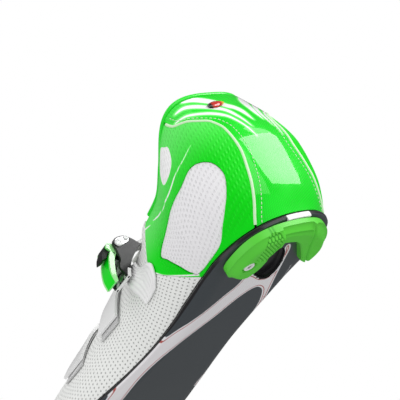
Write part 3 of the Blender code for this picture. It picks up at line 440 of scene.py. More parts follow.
def lathe(name, profile, place, sides=48):
    """A profile of (radius, z) turned about the local Z axis of `place`."""
    profile = np.array(profile, float)
    angle = np.linspace(0, 2 * math.pi, sides, endpoint=False)
    local = np.stack([profile[:, :1] * np.cos(angle), profile[:, :1] * np.sin(angle),
                      np.repeat(profile[:, 1:], sides, 1)], -1).reshape(-1, 3)
    m = np.array(place, float)
    points = local @ m[:3, :3].T + m[:3, 3]
    faces = quads(wrap(np.arange(len(points)).reshape(len(profile), sides)))
    return write_mesh(name, points, faces.tolist(), np.repeat(profile, sides, 0), smooth_angle=30)


def extrude(name, low, high, smooth_angle):
    """A closed block between two copies of one outline."""
    count = len(low)
    faces = [list(range(count)), list(range(2 * count - 1, count - 1, -1))]
    faces += [[i, i + count, (i + 1) % count + count, (i + 1) % count] for i in range(count)]
    return write_mesh(name, np.concatenate([low, high]), faces, smooth_angle=smooth_angle)


def prism(name, outline, low, high, place):
    """An outline in the local XZ plane, extruded along local Y."""
    m = np.array(place, float)
    ends = [np.insert(np.array(outline, float), 1, y, axis=1) @ m[:3, :3].T + m[:3, 3] for y in (low, high)]
    return extrude(name, *ends, 30)


def flat_prism(name, outline, low, high, edge=0.0):
    """An outline in plan, extruded upward."""
    made = extrude(name, *(np.insert(np.array(outline, float), 2, z, axis=1) for z in (low, high)), 40)
    if edge:
        round_edges(made, edge, 3, 30)
        bake_modifiers(made)
    return made


def combine(thing, other, operation):
    """Applies a Boolean with `other` to `thing`, and drops `other`."""
    boolean = thing.modifiers.new("boolean", "BOOLEAN")
    boolean.operation = operation
    boolean.object = other
    boolean.solver = "EXACT"
    bake_modifiers(thing)
    bpy.data.objects.remove(other)


def cut(thing, cutter):
    combine(thing, cutter, "DIFFERENCE")


def bake_modifiers(thing):
    graph = bpy.context.evaluated_depsgraph_get()
    mesh = bpy.data.meshes.new_from_object(thing.evaluated_get(graph))
    thing.modifiers.clear()
    thing.data = mesh


def arc(cx, cz, radius, start, end, count):
    angle = np.radians(np.linspace(start, end, count))
    return np.stack([cx + radius * np.cos(angle), cz + radius * np.sin(angle)], -1)


def stadium(x, y, radius, reach, count):
    """Two half circles, `reach` from the middle along Y each way."""
    return np.concatenate([arc(x, y + reach, radius, 0, 180, count),
                           arc(x, y - reach, radius, 180, 360, count)])


def rounded(outline, radius, steps=5):
    """A polygon with its corners rounded."""
    p = np.array(outline, float)
    made = []
    for before, corner, after in zip(np.roll(p, 1, 0), p, np.roll(p, -1, 0)):
        reach = min(radius, 0.45 * np.linalg.norm(before - corner), 0.45 * np.linalg.norm(after - corner))
        a = corner + unit(before - corner) * reach
        b = corner + unit(after - corner) * reach
        for t in np.linspace(0, 1, steps):
            made.append((1 - t) ** 2 * a + 2 * t * (1 - t) * corner + t * t * b)
    return np.array(made)


# ------------------------------------------------------------------ materials

class Look:
    """A node material with short names for the nodes that the looks below use."""

    def __init__(self, name, colour, roughness, metallic=0.0, coat=0.0, coat_roughness=0.03, sheen=0.0):
        self.material = bpy.data.materials.new(name)
        self.material.use_nodes = True
        self.tree = self.material.node_tree
        self.shader = self.tree.nodes["Principled BSDF"]
        self.set("Base Color", (*colour, 1))
        self.set("Roughness", roughness)
        self.set("Metallic", metallic)
        self.set("Coat Weight", coat)
        self.set("Coat Roughness", coat_roughness)
        self.set("Sheen Weight", sheen)
        self.tilt = None

    def set(self, socket, value):
        self.shader.inputs[socket].default_value = value

    def node(self, kind, **settings):
        made = self.tree.nodes.new("ShaderNode" + kind)
        for key, value in settings.items():
            setattr(made, key, value)
        return made

    def feed(self, socket, value):
        if isinstance(value, bpy.types.NodeSocket):
            self.tree.links.new(value, socket)
        else:
            socket.default_value = value

    def math(self, operation, *values):
        made = self.node("Math", operation=operation)
        for socket, value in zip(made.inputs, values):
            self.feed(socket, value)
        return made.outputs[0]

    def times(self, a, b):
        return self.math("MULTIPLY", a, b)

    def uv(self):
        return self.node("UVMap", uv_map="millimetres").outputs[0]

    def place(self):
        """Position in the row frame, in millimetres."""
        made = self.node("VectorMath", operation="SCALE")
        self.feed(made.inputs[0], self.node("TexCoord").outputs["Object"])
        made.inputs["Scale"].default_value = 1000
        return made.outputs[0]

    def split(self, vector):
        made = self.node("SeparateXYZ")
        self.feed(made.inputs[0], vector)
        return made.outputs

    def turned(self, vector, degrees, scale=(1, 1, 1)):
        made = self.node("Mapping")
        self.feed(made.inputs[0], vector)
        made.inputs["Rotation"].default_value = (0, 0, math.radians(degrees))
        made.inputs["Scale"].default_value = scale
        return made.outputs[0]

    def mark(self, word):
        return self.node("Attribute", attribute_name=word).outputs["Fac"]

    def step(self, value, low, high, start=0.0, end=1.0):
        """`start` below `low`, `end` above `high`, smooth between."""
        made = self.node("MapRange", interpolation_type="SMOOTHSTEP")
        for k, v in enumerate((value, low, high, start, end)):
            self.feed(made.inputs[k], v)
        return made.outputs[0]

    def noise(self, vector, scale, detail=3.0):
        made = self.node("TexNoise")
        self.feed(made.inputs["Vector"], vector)
        made.inputs["Scale"].default_value = scale
        made.inputs["Detail"].default_value = detail
        return made.outputs[0]

    def dots(self, vector, scale, feature="F1"):
        made = self.node("TexVoronoi", feature=feature, voronoi_dimensions="2D")
        self.feed(made.inputs["Vector"], vector)
        made.inputs["Scale"].default_value = scale
        made.inputs["Randomness"].default_value = 0.0
        return made.outputs[0]

    def waves(self, value, pitch):
        """A sine from 0 to 1 along a value in millimetres."""
        sine = self.math("SINE", self.times(value, 2 * math.pi / pitch))
        return self.math("MULTIPLY_ADD", sine, 0.5, 0.5)

    def mix(self, factor, a, b):
        made = self.node("Mix", data_type="RGBA")
        self.feed(made.inputs[0], factor)
        self.feed(made.inputs[6], (*a, 1) if isinstance(a, tuple) else a)
        self.feed(made.inputs[7], (*b, 1) if isinstance(b, tuple) else b)
        return made.outputs[2]

    def colour(self, value):
        self.feed(self.shader.inputs["Base Color"], value)

    def roughness(self, value):
        self.feed(self.shader.inputs["Roughness"], value)

    def bump(self, height, millimetres):
        """Adds relief of this depth; later calls lie on top of earlier ones."""
        made = self.node("Bump")
        made.inputs["Strength"].default_value = 1.0
        made.inputs["Distance"].default_value = millimetres * MM
        self.feed(made.inputs["Height"], height)
        if self.tilt is not None:
            self.feed(made.inputs["Normal"], self.tilt)
        self.tilt = made.outputs[0]
        self.feed(self.shader.inputs["Normal"], self.tilt)


GREEN = (0.0, 0.8, 0.01)
GREEN_LIGHT = (0.03, 0.92, 0.05)
GREEN_DARK = (0.0, 0.56, 0.008)
PAD_GREEN = (0.085, 0.62, 0.03)
WHITE = (0.9, 0.9, 0.9)
SOLE_GREY = (0.055, 0.066, 0.075)


def darker(colour, share):
    return tuple(c * share for c in colour)


def skewed(look, vector, pitch, lean=0.5):
    """Coordinates in which a square lattice becomes the staggered rows of a printed mesh."""
    x, y, _ = look.split(vector)
    made = look.node("CombineXYZ")
    look.feed(made.inputs[0], look.math("DIVIDE", look.math("MULTIPLY_ADD", y, lean, x), pitch))
    look.feed(made.inputs[1], look.math("DIVIDE", y, pitch * 0.87))
    return made.outputs[0]


def counter_look():
    """Clear-coated green film over a fine mesh print, with white flame lines."""
    look = Look("counter_gloss", GREEN, 0.3, coat=1.0, coat_roughness=0.04)
    look.set("Specular IOR Level", 0.1)
    cells = look.dots(skewed(look, look.turned(look.uv(), 28), 1.15), 1.0)
    print_ = look.step(cells, 0.3, 0.46)
    green = look.mix(print_, GREEN, GREEN_DARK)
    cloud = look.step(look.noise(look.uv(), 0.045, 1.0), 0.35, 0.7)
    green = look.mix(look.times(cloud, 0.35), green, GREEN_LIGHT)
    flame = look.step(look.mark("swoosh"), -0.12, 0.12)
    halo = look.step(look.mark("swoosh"), 0.1, 1.6)
    fade = look.mix(halo, (0.2, 0.94, 0.2), green)
    look.colour(look.mix(flame, WHITE, fade))
    look.bump(print_, 0.03)
    return look.material


def quarter_look():
    """Satin green film pressed over the mesh, whose dimples show through; the dimples and the upper part
    are painted paler as painted highlights.
    """
    look = Look("green_film", GREEN, 0.36, coat=0.1, coat_roughness=0.25)
    look.set("Specular IOR Level", 0.1)
    rows = look.dots(skewed(look, look.turned(look.uv(), 14), 2.6), 1.0)
    dimple = look.step(rows, 0.08, 0.46)
    relief = look.mark("relief")
    shown = look.times(dimple, relief)
    # The dimples' centres are painted a paler green than the film around them: painted highlights on the
    # dimples.
    green = look.mix(look.times(shown, 0.5), (0.0, 0.74, 0.006), (0.0, 0.6, 0.002))
    # The upper part of the film is painted a paler green: a painted highlight where the light falls on it.
    high = look.step(look.mark("height"), 0.42, 0.9)
    low = look.step(look.mark("height"), 0.9, 1.0)
    top_painted_highlight = look.times(look.math("SUBTRACT", high, low), 0.8)
    green = look.mix(top_painted_highlight, green, (0.16, 0.86, 0.17))
    line = look.step(look.mark("line"), -0.1, 0.1)
    border = look.step(look.mark("line"), 0.1, 0.5)
    green = look.mix(border, (0.12, 0.9, 0.12), green)
    look.colour(look.mix(line, WHITE, green))
    look.bump(shown, 0.3)
    return look.material


def weave_look(name, colour, perforated):
    """White knitted mesh: small dimples in rows, and open perforations where it breathes; both are painted
    darker as painted shade.
    """
    look = Look(name, colour, 0.62, sheen=0.25)
    uv = look.uv()
    x, y, _ = look.split(look.turned(uv, 12))
    thread = look.times(look.waves(x, 1.05), look.waves(y, 0.95))
    cells = look.dots(skewed(look, look.turned(uv, 12), 2.7 if perforated else 2.3), 1.0)
    pit = look.step(cells, 0.12, 0.3)
    # The pits, and the perforations where there are any, are painted darker: painted shade in them.
    hole = look.step(cells, 0.13, 0.2) if perforated else pit
    depth = 0.6 if perforated else 0.06
    shade = darker(colour, 1 - depth)
    patch = look.step(look.noise(uv, 0.03, 1.0), 0.35, 0.65)
    base = look.mix(look.times(patch, 0.3), colour, darker(colour, 0.93))
    look.colour(look.mix(hole, shade, base))
    look.bump(pit, 0.22)
    look.bump(thread, 0.07)
    return look.material


def plain_film(name, colour, roughness=0.38, coat=0.0, grain=0.02):
    """Moulded or welded film with a faint uneven surface."""
    look = Look(name, colour, roughness, coat=coat)
    fine = look.noise(look.place(), 1.6, 4.0)
    broad = look.noise(look.place(), 0.08, 1.0)
    look.colour(look.mix(look.times(broad, 0.35), colour, darker(colour, 0.9)))
    look.roughness(look.math("MULTIPLY_ADD", fine, 0.12, roughness - 0.06))
    look.bump(fine, grain)
    return look.material


def textile(name, colour, pitch=0.8, depth=0.12):
    """A plain woven or brushed cloth."""
    look = Look(name, colour, 0.85, sheen=0.4)
    x, y, z = look.split(look.place())
    over = look.waves(look.math("ADD", x, z), pitch)
    under = look.waves(look.math("SUBTRACT", y, z), pitch)
    thread = look.math("MAXIMUM", over, under)
    fuzz = look.noise(look.place(), 2.5, 4.0)
    look.colour(look.mix(look.times(fuzz, 0.5), colour, darker(colour, 0.75)))
    look.bump(thread, depth)
    look.bump(fuzz, 0.08)
    return look.material


def metal_look(name, colour=(0.62, 0.62, 0.63), roughness=0.22):
    look = Look(name, colour, roughness, metallic=1.0)
    scratch = look.noise(look.turned(look.place(), 20, (0.3, 6, 1)), 1.2, 3.0)
    look.roughness(look.math("MULTIPLY_ADD", scratch, 0.22, roughness - 0.08))
    look.colour(look.mix(look.noise(look.place(), 0.7, 2.0), colour, darker(colour, 0.8)))
    look.bump(scratch, 0.01)
    return look.material


def sole_look():
    """Dark fibre-filled plate: near-black gloss rim, grey floor, printed forked band and lines."""
    look = Look("sole_composite", SOLE_GREY, 0.3, coat=0.35, coat_roughness=0.12)
    place = look.place()
    speck = look.noise(place, 1.3, 4.0)
    floor = look.mix(look.times(speck, 0.6), SOLE_GREY, darker(SOLE_GREY, 0.72))
    x, y, _ = look.split(place)
    weave = look.times(look.waves(look.math("ADD", x, y), 1.1),
                      look.waves(look.math("SUBTRACT", x, y), 1.1))
    band = look.mix(look.times(weave, 0.55), (0.84, 0.82, 0.84), (0.64, 0.61, 0.64))
    red = look.step(look.math("ABSOLUTE", look.math("ADD", look.mark("band"), 1.15)), 0.16, 0.34)
    band = look.mix(red, (0.45, 0.1, 0.09), band)
    edge = look.step(look.mark("band"), -0.62, -0.42)
    band = look.mix(edge, band, (0.78, 0.78, 0.8))
    body = look.mix(look.step(look.mark("band"), -0.1, 0.1), band, floor)
    near = look.step(look.math("ABSOLUTE", look.mark("hairline")), 0.2, 0.36, 1.0, 0.0)
    span = look.times(look.step(y, -66, -65.5), look.step(y, -36, -35.5, 1.0, 0.0))
    dash = look.step(look.waves(y, 1.7), 0.2, 0.35)
    fine = look.times(look.times(near, span), dash)
    body = look.mix(fine, body, (0.72, 0.72, 0.74))
    rim = look.step(look.mark("rim"), -0.15, 0.15)
    body = look.mix(rim, (0.012, 0.011, 0.013), body)
    look.colour(look.mix(look.step(look.mark("moulded"), 0.4, 0.6), (0.006, 0.006, 0.006), body))
    look.bump(speck, 0.02)
    return look.material


def pad_look():
    """Matte urethane, painted paler on the knobs as a painted highlight and darker between them as painted
    shade.
    """
    look = Look("heel_urethane", PAD_GREEN, 0.42)
    place = look.place()
    grain = look.noise(place, 2.2, 4.0)
    broad = look.noise(place, 0.06, 1.0)
    base = look.mix(look.times(broad, 0.4), PAD_GREEN, (0.12, 0.74, 0.05))
    # Painted shade in the hollows between the knobs, and a painted highlight on the knobs.
    base = look.mix(look.times(look.mark("hollow_painted_shade"), 0.8), base, (0.02, 0.36, 0.006))
    base = look.mix(look.times(look.mark("knob"), 0.6), base, (0.16, 0.8, 0.07))
    look.colour(base)
    look.bump(grain, 0.03)
    return look.material


def lacquer_look():
    """Glossy green lacquer, painted paler along both edges of the lever as a painted highlight."""
    look = Look("green_lacquer", GREEN, 0.14, coat=1.0)
    y = look.split(look.place())[1]
    off_centre = look.math("ABSOLUTE", look.math("SUBTRACT", y, station_y(INSTEP_STATION)))
    # Both edges of the lever are painted paler: a painted highlight along them.
    edge = look.step(off_centre, 3.7, 4.2)
    look.colour(look.mix(edge, GREEN, (0.4, 0.92, 0.36)))
    look.bump(look.noise(look.place(), 1.6, 4.0), 0.004)
    return look.material


def badge_look():
    """Clear resin drop, dark at its tip and yellow at its end."""
    look = Look("badge_resin", (0.5, 0.02, 0.015), 0.12, coat=1.0)
    along = look.mark("along")
    red = look.mix(look.step(along, 0.1, 0.28), (0.004, 0.008, 0.004), (0.55, 0.03, 0.02))
    look.colour(look.mix(look.step(along, 0.72, 0.95), red, (0.85, 0.6, 0.05)))
    return look.material


LOOKS = {
    "badge": badge_look(),
    "counter": counter_look(),
    "quarter": quarter_look(),
    "window": weave_look("window_mesh", (0.84, 0.83, 0.85), False),
    "forefoot": weave_look("forefoot_mesh", (0.86, 0.87, 0.85), True),
    "white": plain_film("white_film", WHITE, 0.35, coat=0.2),
    "piping": plain_film("pale_piping", (0.62, 0.86, 0.55), 0.45),
    "thread": textile("thread", (0.7, 0.86, 0.62), 0.4, 0.05),
    "edge": plain_film("green_edge", (0.01, 0.76, 0.02), 0.3, coat=0.4),
    "lining": textile("lining_cloth", (0.66, 0.68, 0.64)),
    "footbed": textile("footbed_cloth", (0.07, 0.07, 0.075)),
    "sole": sole_look(),
    "pad": pad_look(),
    "black": plain_film("black_nylon", (0.01, 0.01, 0.011), 0.32),
    "soft_black": plain_film("soft_black", (0.016, 0.016, 0.017), 0.55, grain=0.05),
    "ladder": plain_film("white_nylon", (0.8, 0.8, 0.8), 0.4),
    "lacquer": lacquer_look(),
    "zinc": plain_film("bright_zinc", (0.88, 0.88, 0.89), 0.3, coat=0.5, grain=0.01),
    "steel": metal_look("bright_steel", (0.8, 0.8, 0.81), 0.3),
    "board": textile("fibre_board", (0.5, 0.42, 0.3)),
    "loop": textile("loop_cloth", (0.7, 0.7, 0.7), 0.5, 0.2),
}


# ------------------------------------------------------------------ sole

def rim_loop(inset, z_of, steps):
    """Plan outline of the sole's rim, moved in by `inset`, once round from the heel."""
    arounds = np.concatenate([np.linspace(1e-6, 3, steps), np.linspace(-3, -1e-6, steps)[1:-1]])
    rim = upper(arounds, 0.0)
    step = np.gradient(np.concatenate([rim[-1:], rim, rim[:1]]), axis=0)[1:-1]
    normal = unit(np.stack([-step[:, 1], step[:, 0], np.zeros(len(rim))], -1))
    middle = np.array([0.0, station_y(HEEL_TURN + 100), 0.0])
    normal *= np.where(((rim - middle) * normal * np.array([1, 1, 0])).sum(1) < 0, -1, 1)[:, None]
    spot = rim - normal * inset
    spot[:, 2] = z_of(HEEL_BACK_Y - rim[:, 1], rim[:, 2])
    return spot


SOLE_PROFILE = [  # inset, share of the rim's height, share of the bottom's height, lift
    (RIM_WIDTH + 2.5, 0, 1, SOLE_SKIN), (RIM_WIDTH, 1, 0, -2.0), (RIM_WIDTH - 0.4, 1, 0, -0.35),
    (0.5, 1, 0, -0.35), (-0.1, 1, 0, -0.45), (-0.55, 1, 0, -0.9), (-0.7, 1, 0, -1.5),
    (-0.45, 0.85, 0.15, -1.9), (0.1, 0.6, 0.4, -1.0), (1.2, 0.42, 0.58, -0.35), (3.0, 0.25, 0.75, 0),
    (4.8, 0.1, 0.9, 0.12), (6.5, 0, 1, 0.3), (8.0, 0, 1, 0.1), (9.5, 0, 1, 0)]
def stacked(loops, steps, bridge):
    """Points and faces of loops joined in turn, with `bridge` strips of faces across each end."""
    size = len(loops[0])
    points = np.concatenate(loops)
    index = np.arange(len(points)).reshape(len(loops), size)
    faces = quads(wrap(index)).tolist()
    share = np.linspace(0, 1, bridge + 1)[1:-1]
    extra, first = [points], len(points)
    for ring in (index[0], index[-1]):
        left, right = ring[:steps], np.concatenate([ring[:1], ring[steps:][::-1], ring[steps - 1:steps]])
        inside = points[left][:, None] * (1 - share[:, None]) + points[right][:, None] * share[:, None]
        extra.append(inside.reshape(-1, 3))
        added = first + np.arange(steps * (bridge - 1)).reshape(steps, bridge - 1)
        first += added.size
        grid = np.concatenate([left[:, None], added, right[:, None]], axis=1)
        faces += [list(dict.fromkeys(q)) for q in quads(grid).tolist()]
    return np.concatenate(extra), [f for f in faces if len(f) > 2]


def build_sole():
    steps = 290
    loops = [rim_loop(inset, lambda s, z: rim_share * z + low_share * bottom_z(s) + lift, steps)
             for inset, rim_share, low_share, lift in SOLE_PROFILE]
    points, faces = stacked(loops, steps, 84)
    plan = points[:, :2]
    band = fill(plan, spline(FORK, 150, closed=True))
    hair = points[:, 0] - np.interp(points[:, 1], [-66, -49.5, -36], [-31.5, -28, -24])
    station = HEEL_BACK_Y - points[:, 1]
    rim_top = smooth([(0, 11.5), (84, 10.4), (125, 9.5), (200, 8.3), (246, 11.0), (285, 16.0)], station)
    low = points[:, 2] - (0.45 * rim_top + 0.55 * bottom_z(station) + 0.4)
    marks = {"band": band, "hairline": hair, "rim": -low, "moulded": np.ones(len(points))}
    made = write_mesh("outsole_plate", points, faces, points[:, :2], marks, smooth_angle=42)
    for x, station_ in CLEAT_HOLES:
        y = station_y(station_)
        cut(made, flat_prism("cutter", stadium(x, y, 3.25, 3.0, 12), -2, 14))
    cut(made, flat_prism("cutter", rounded(HEEL_WELL, 4), HEEL_SKIN_Z - 3, HEEL_SKIN_Z + 2.6, 1.4))
    pocket = stadium(CLEAT_HOLES[0][0], station_y(CLEAT_STATION), 22.5, 3.5, 24)
    cut(made, flat_prism("cutter", pocket, BALL_SKIN_Z + 1.15, 30))
    finish_piece(made, "sole", "sole_composite", "outsole")


PAD_OUTER_EDGE = [(19.5, -30), (26, -29), (30, -24), (31, -16), (30, -7), (26, 0), (18, 4.5), (8, 6.2),
                  (-4, 6.0), (-14, 3.0), (-24, -4.5), (-31, -13), (-32.5, -20), (-28, -28)]
PAD_INNER_EDGE = [(17, -27), (13.5, -20.5), (13.2, -11), (11.5, -4.4), (3, -4.5), (-4, -7.5), (-10, -13.5),
                  (-15.5, -20), (-21.5, -27.5)]
HEX_FIELD = [(21.5, -12.6), (23.2, -9), (23.3, -4), (22.6, 0.5), (20.5, 3.9), (15.8, 3.2), (13.6, -2),
             (14, -8), (14.2, -14)]
HEEL_WELL = [(7, -13), (-2, -15), (-8.5, -21), (-13, -30), (-15, -38), (-12.5, -44.5), (-5, -42), (4, -35),
             (9, -24)]
FORK = [(-6, -14), (-9.4, -18), (-12.4, -25.5), (-16.2, -35.8), (-19.8, -48), (-23.6, -59), (-27.7, -69),
        (-30, -78), (-32.4, -87), (-34.6, -100.5), (-36.5, -120), (-38.5, -150), (-31, -150), (-31, -120),
        (-30, -99), (-27, -85.4), (-24, -73), (-20.8, -62.9), (-16.2, -54.3), (-11, -50.3), (-7, -50.2),
        (-2.4, -54), (2.1, -61.2), (6.7, -70.5), (12.1, -79.5), (18, -91), (23, -106), (26, -124),
        (27, -150), (36, -150), (35.5, -124), (33, -104), (29.5, -88), (25.1, -76.5), (21.2, -67.5),
        (16.3, -59),
        (12.2, -50.5), (8.2, -44), (6.5, -36), (0, -38.5), (-6, -42), (-11.5, -43), (-14.6, -40),
        (-14.4, -35),
        (-12.2, -30), (-8, -22), (-4.4, -16)]


def honeycomb(plan, pitch, degrees):
    """Share of the way from each hexagon's middle (0) to its edge (1)."""
    c, t = math.cos(math.radians(degrees)), math.sin(math.radians(degrees))
    p = plan @ np.array([[c, t], [-t, c]]) / pitch
    rise = math.sqrt(3)
    first = p - np.round(p / [1, rise]) * [1, rise]
    second = p - (np.round(p / [1, rise] - 0.5) + 0.5) * [1, rise]

    def spread(q):
        x, y = np.abs(q[..., 0]), np.abs(q[..., 1])
        return np.maximum(x, 0.5 * x + rise / 2 * y) * 2
    return np.minimum(spread(first), spread(second))


def ease(x):
    x = np.clip(x, 0, 1)
    return x * x * (3 - 2 * x)


def build_heel_pad():
    """The horseshoe tread as a grid that runs along the shoe's back and across the horseshoe."""
    along, wide = 400, 90
    outer, inner = spline(PAD_OUTER_EDGE, along), spline(PAD_INNER_EDGE, along)
    share = np.linspace(0, 1, wide)
    plan = outer[:, None] * (1 - share[:, None]) + inner[:, None] * share[:, None]
    rows = np.linspace(0, 1, along)[:, None]
    reach = np.linalg.norm(outer - inner, axis=1)[:, None]
    from_outer, from_inner = share * reach, (1 - share) * reach
    tip = np.minimum(rows, 1 - rows) * 100
    x, y = plan[..., 0], plan[..., 1]
    step_x = np.interp(y, [-6, 0, 4, 9], [11.6, 12.8, 14.8, 18.0])
    fold_x = np.interp(y, [-28, -20, -11.5, -3.4, 3, 6], [-24.5, -19, -14, -10.2, -8.0, -7.5])
    behind, fold = (step_x - x) * 0.9, (x - fold_x) * 0.85
    back = ease(behind / 0.9)
    bevel = (3.4 + 1.4 * back * ease(fold / 2)) * ease(1 - from_outer / (5.2 + 1.8 * back)) ** 1.3
    floor = bevel + 0.7 * ease(1 - from_inner / 0.9) + 1.8 * ease(1 - tip / 2.6)
    flat = back * ease((fold - 0.3) / 1.6) * ease((from_outer - 3.2) / 1.0)
    floor = floor + 1.5 * flat
    floor = floor + 1.9 * np.exp(-(fold / 0.8) ** 2) * ease((from_outer - 1.0) / 3)
    facet = ease(-fold / 1.2)
    floor = floor + facet * (0.5 + 0.13 * np.clip(-fold, 0, 20))
    ribs = 0.16 * (0.5 + 0.5 * np.sin(2 * math.pi * (0.87 * x + 0.5 * y) / 1.1)) * facet
    field = fill(plan, spline(HEX_FIELD, 60, closed=True))
    inside = ease(0.5 - field / 0.8)
    knob = ease((0.9 - honeycomb(plan, 1.8, 24)) / 0.36)
    floor = floor + inside * (0.95 - 0.6 * knob) + ribs
    under = np.dstack([plan, np.minimum(floor, 6.6)])
    over = np.dstack([plan, np.full(x.shape, HEEL_SKIN_Z + 0.9)])
    # The knob mark carries a painted highlight on the knobs, the hollow mark painted shade between them.
    made = skin("heel_tread_horseshoe", under, over, {"knob": inside * knob, "hollow_painted_shade": inside * (1 - knob)})
    for radius, low, high in ((4.0, -1, 2.4), (2.1, -2, 12)):
        cut(made, flat_prism("cutter", arc(*HEEL_SCREW, radius, 0, 350, 36), low, high))
    finish_piece(made, "pad", "green_tpu", "heel_pad")


def build_pad_screw():
    spot = Matrix.Translation((*HEEL_SCREW, 0))
    ring = lathe("heel_screw_washer", [(2.2, 1.5), (3.5, 1.5), (3.65, 1.62), (3.65, 1.95), (3.5, 2.05),
                                       (2.2, 2.05), (2.2, 1.5)], spot)
    finish_piece(ring, "zinc", "steel", "heel_pad_washer")
    head = lathe("heel_screw", [(0, 0.15), (2.3, 0.15), (2.65, 0.25), (2.88, 0.6), (2.9, 1.15), (1.6, 1.2),
                                (1.6, 9.0), (0, 9.0)], spot)
    cut(head, flat_prism("cutter", arc(*HEEL_SCREW, 1.5, 0, 300, 6), -1, 1.0))
    finish_piece(head, "zinc", "steel", "heel_pad_screw")
    floor = flat_prism("heel_screw_socket", arc(*HEEL_SCREW, 1.45, 0, 300, 6), 0.75, 0.98, 0.05)
    finish_piece(floor, "black", "steel")


def build_heel_tab():
    arounds = np.linspace(-0.08, 0.15, 40)[:, None]
    levels = np.linspace(0, 1, 12)[None, :]
    rim = upper(arounds, 0.0)
    step = upper(arounds + 0.01, 0.0) - upper(arounds - 0.01, 0.0)
    normal = unit(np.stack([-step[..., 1], step[..., 0], 0 * step[..., 0]], -1))
    normal *= np.where(normal[..., 1:2] < 0, -1, 1)
    z = 7.6 + 2.8 * levels
    bow = 1.15 - 0.35 * (2 * levels - 1) ** 2
    top = rim + normal * bow[..., None]
    top[..., 2] = z
    under = np.broadcast_to(rim - normal * 1.2, top.shape).copy()
    under[..., 2] = z
    made = skin("heel_tab_plate", top, under)
    finish_piece(round_edges(made, 0.25), "white", "white_film", "heel_tab")


# ------------------------------------------------------------------ upper

def panel(name, a_low, a_high, h_low, h_high, size, thick, out=0.0, marks=None):
    """A panel of the upper between two seams; marks maps names to functions of (grid, a, h)."""
    v = np.linspace(h_low, h_high, size[1])
    low = a_low(v) if callable(a_low) else np.full_like(v, a_low)
    high = a_high(v) if callable(a_high) else np.full_like(v, a_high)
    u = np.linspace(0, 1, size[0])[:, None]
    a = low[None] * (1 - u) + high[None] * u
    h = np.broadcast_to(v[None], a.shape)
    top = on_upper(a, h, np.full(a.shape, out))
    under = on_upper(a, h, np.full(a.shape, out - thick))
    made = {word: rule(top, a, h) for word, rule in (marks or {}).items()}
    return skin(name, top, under, made)


def painted(line, width, count=50):
    """A stroke through (around, height) points, for marks."""
    spots = spline(line, count)

    def rule(top, a, h):
        return stroke(top, on_upper(spots[:, 0], spots[:, 1], np.zeros(count)), width)
    return rule


def union(*rules):
    """The nearest of several marks."""
    def rule(top, a, h):
        return np.minimum.reduce([r(top, a, h) for r in rules])
    return rule


def counter_edge(h):
    """The counter's side of its seam with the quarter; the piping lies in the gap."""
    return smooth(COUNTER_SEAM, h) - SEAM_GAP / 2


def quarter_edge(h):
    return smooth(COUNTER_SEAM, h) + SEAM_GAP / 2


FLAMES = [
    ([(0.56, 0.845), (0.4, 0.822), (0.245, 0.783), (0.15, 0.75), (0.083, 0.708), (0.04, 0.62),
      (0.02, 0.52)], (0.5, 1.6, 0.2)),
    ([(0.5, 0.905), (0.376, 0.9), (0.26, 0.87), (0.149, 0.825), (0.06, 0.78), (0.015, 0.7), (0.0, 0.6)],
     (0.6, 2.8, 0.2)),
    ([(0.34, 0.96), (0.214, 0.942), (0.1, 0.895), (0.02, 0.84), (-0.02, 0.76), (-0.03, 0.66)],
     (1.2, 4.4, 0.3)),
]


def build_counter():
    strokes = []
    for line, width in FLAMES:
        strokes.append(painted(line, taper(50, *width, 0.8)))
        strokes.append(painted([(-a - 0.14, h) for a, h in line], taper(50, *width, 0.8)))
    made = panel("heel_counter_cup", lambda h: -counter_edge(h), counter_edge, 0, COUNTER_TOP,
                 (190, 120), 1.6, marks={"swoosh": union(*strokes)})
    round_edges(made, 0.4)
    finish_piece(made, "counter", "counter_gloss", "heel_counter")


LOZENGE = [(0.76, 0.8), (0.78, 0.72), (0.825, 0.685), (0.895, 0.695), (0.97, 0.76), (0.985, 0.87),
           (0.96, 0.93), (0.85, 0.93), (0.8, 0.86)]
HAIR_LINE = [(0.56, 0.625), (0.69, 0.6), (0.82, 0.607), (0.925, 0.625), (1.01, 0.68), (1.05, 0.76),
             (1.085, 0.82), (1.12, 0.865), (1.16, 0.925)]
EDGE_LINE = [(1.16, 0.42), (1.133, 0.3), (1.09, 0.16), (1.05, 0.03)]


def quarter_border(a, h, top):
    """Where a ray from the window's middle through a window point meets the quarter's edge."""
    ca, ch = WINDOW_MIDDLE
    low, high = np.ones_like(a), np.full_like(a, 12.0)
    for _ in range(40):
        reach = (low + high) / 2
        x, y = ca + (a - ca) * reach, ch + (h - ch) * reach
        kept = np.clip(y, 0, top)
        out = (y <= 0) | (y >= top) | (x <= quarter_edge(kept)) | (x >= smooth(QUARTER_FRONT, kept) - 0.001)
        low, high = np.where(out, low, reach), np.where(out, reach, high)
    return ca + (a - ca) * low, np.clip(ch + (h - ch) * low, 0, top)


def build_quarter(side, word):
    window = spline(WINDOW, WINDOW_POINTS, closed=True)
    edge_a, edge_h = quarter_border(window[:, 0], window[:, 1], QUARTER_TOP)
    u = np.linspace(0, 1, 46)[:, None]
    a = window[:, 0] * (1 - u) + edge_a * u
    h = window[:, 1] * (1 - u) + edge_h * u
    top = on_upper(side * a, h, 0 * a)
    under = on_upper(side * a, h, 0 * a - 1.4)
    lozenge = fill(net(a, h), spline([net(*p) for p in LOZENGE], 60, closed=True))
    hair = painted([(side * p, q) for p, q in HAIR_LINE], taper(50, 0.15, 0.4, 1.0))
    strip = painted([(side * p, q) for p, q in EDGE_LINE], 0.7)
    white = np.minimum(lozenge, union(hair, strip)(top, a, h))
    relief = (np.clip((h - 0.02) / 0.06, 0, 1) * np.clip((1.13 - a) / 0.05, 0, 1)
              * np.clip((0.94 - h) / 0.04, 0, 1))
    marks = {"line": white, "relief": relief, "height": h}
    made = skin(f"quarter_film_{word}", top, under, marks, ring=True)
    height_uv(made, a, h)
    round_edges(made, 0.35)
    finish_piece(made, "quarter", "green_film", f"quarter_{word}")


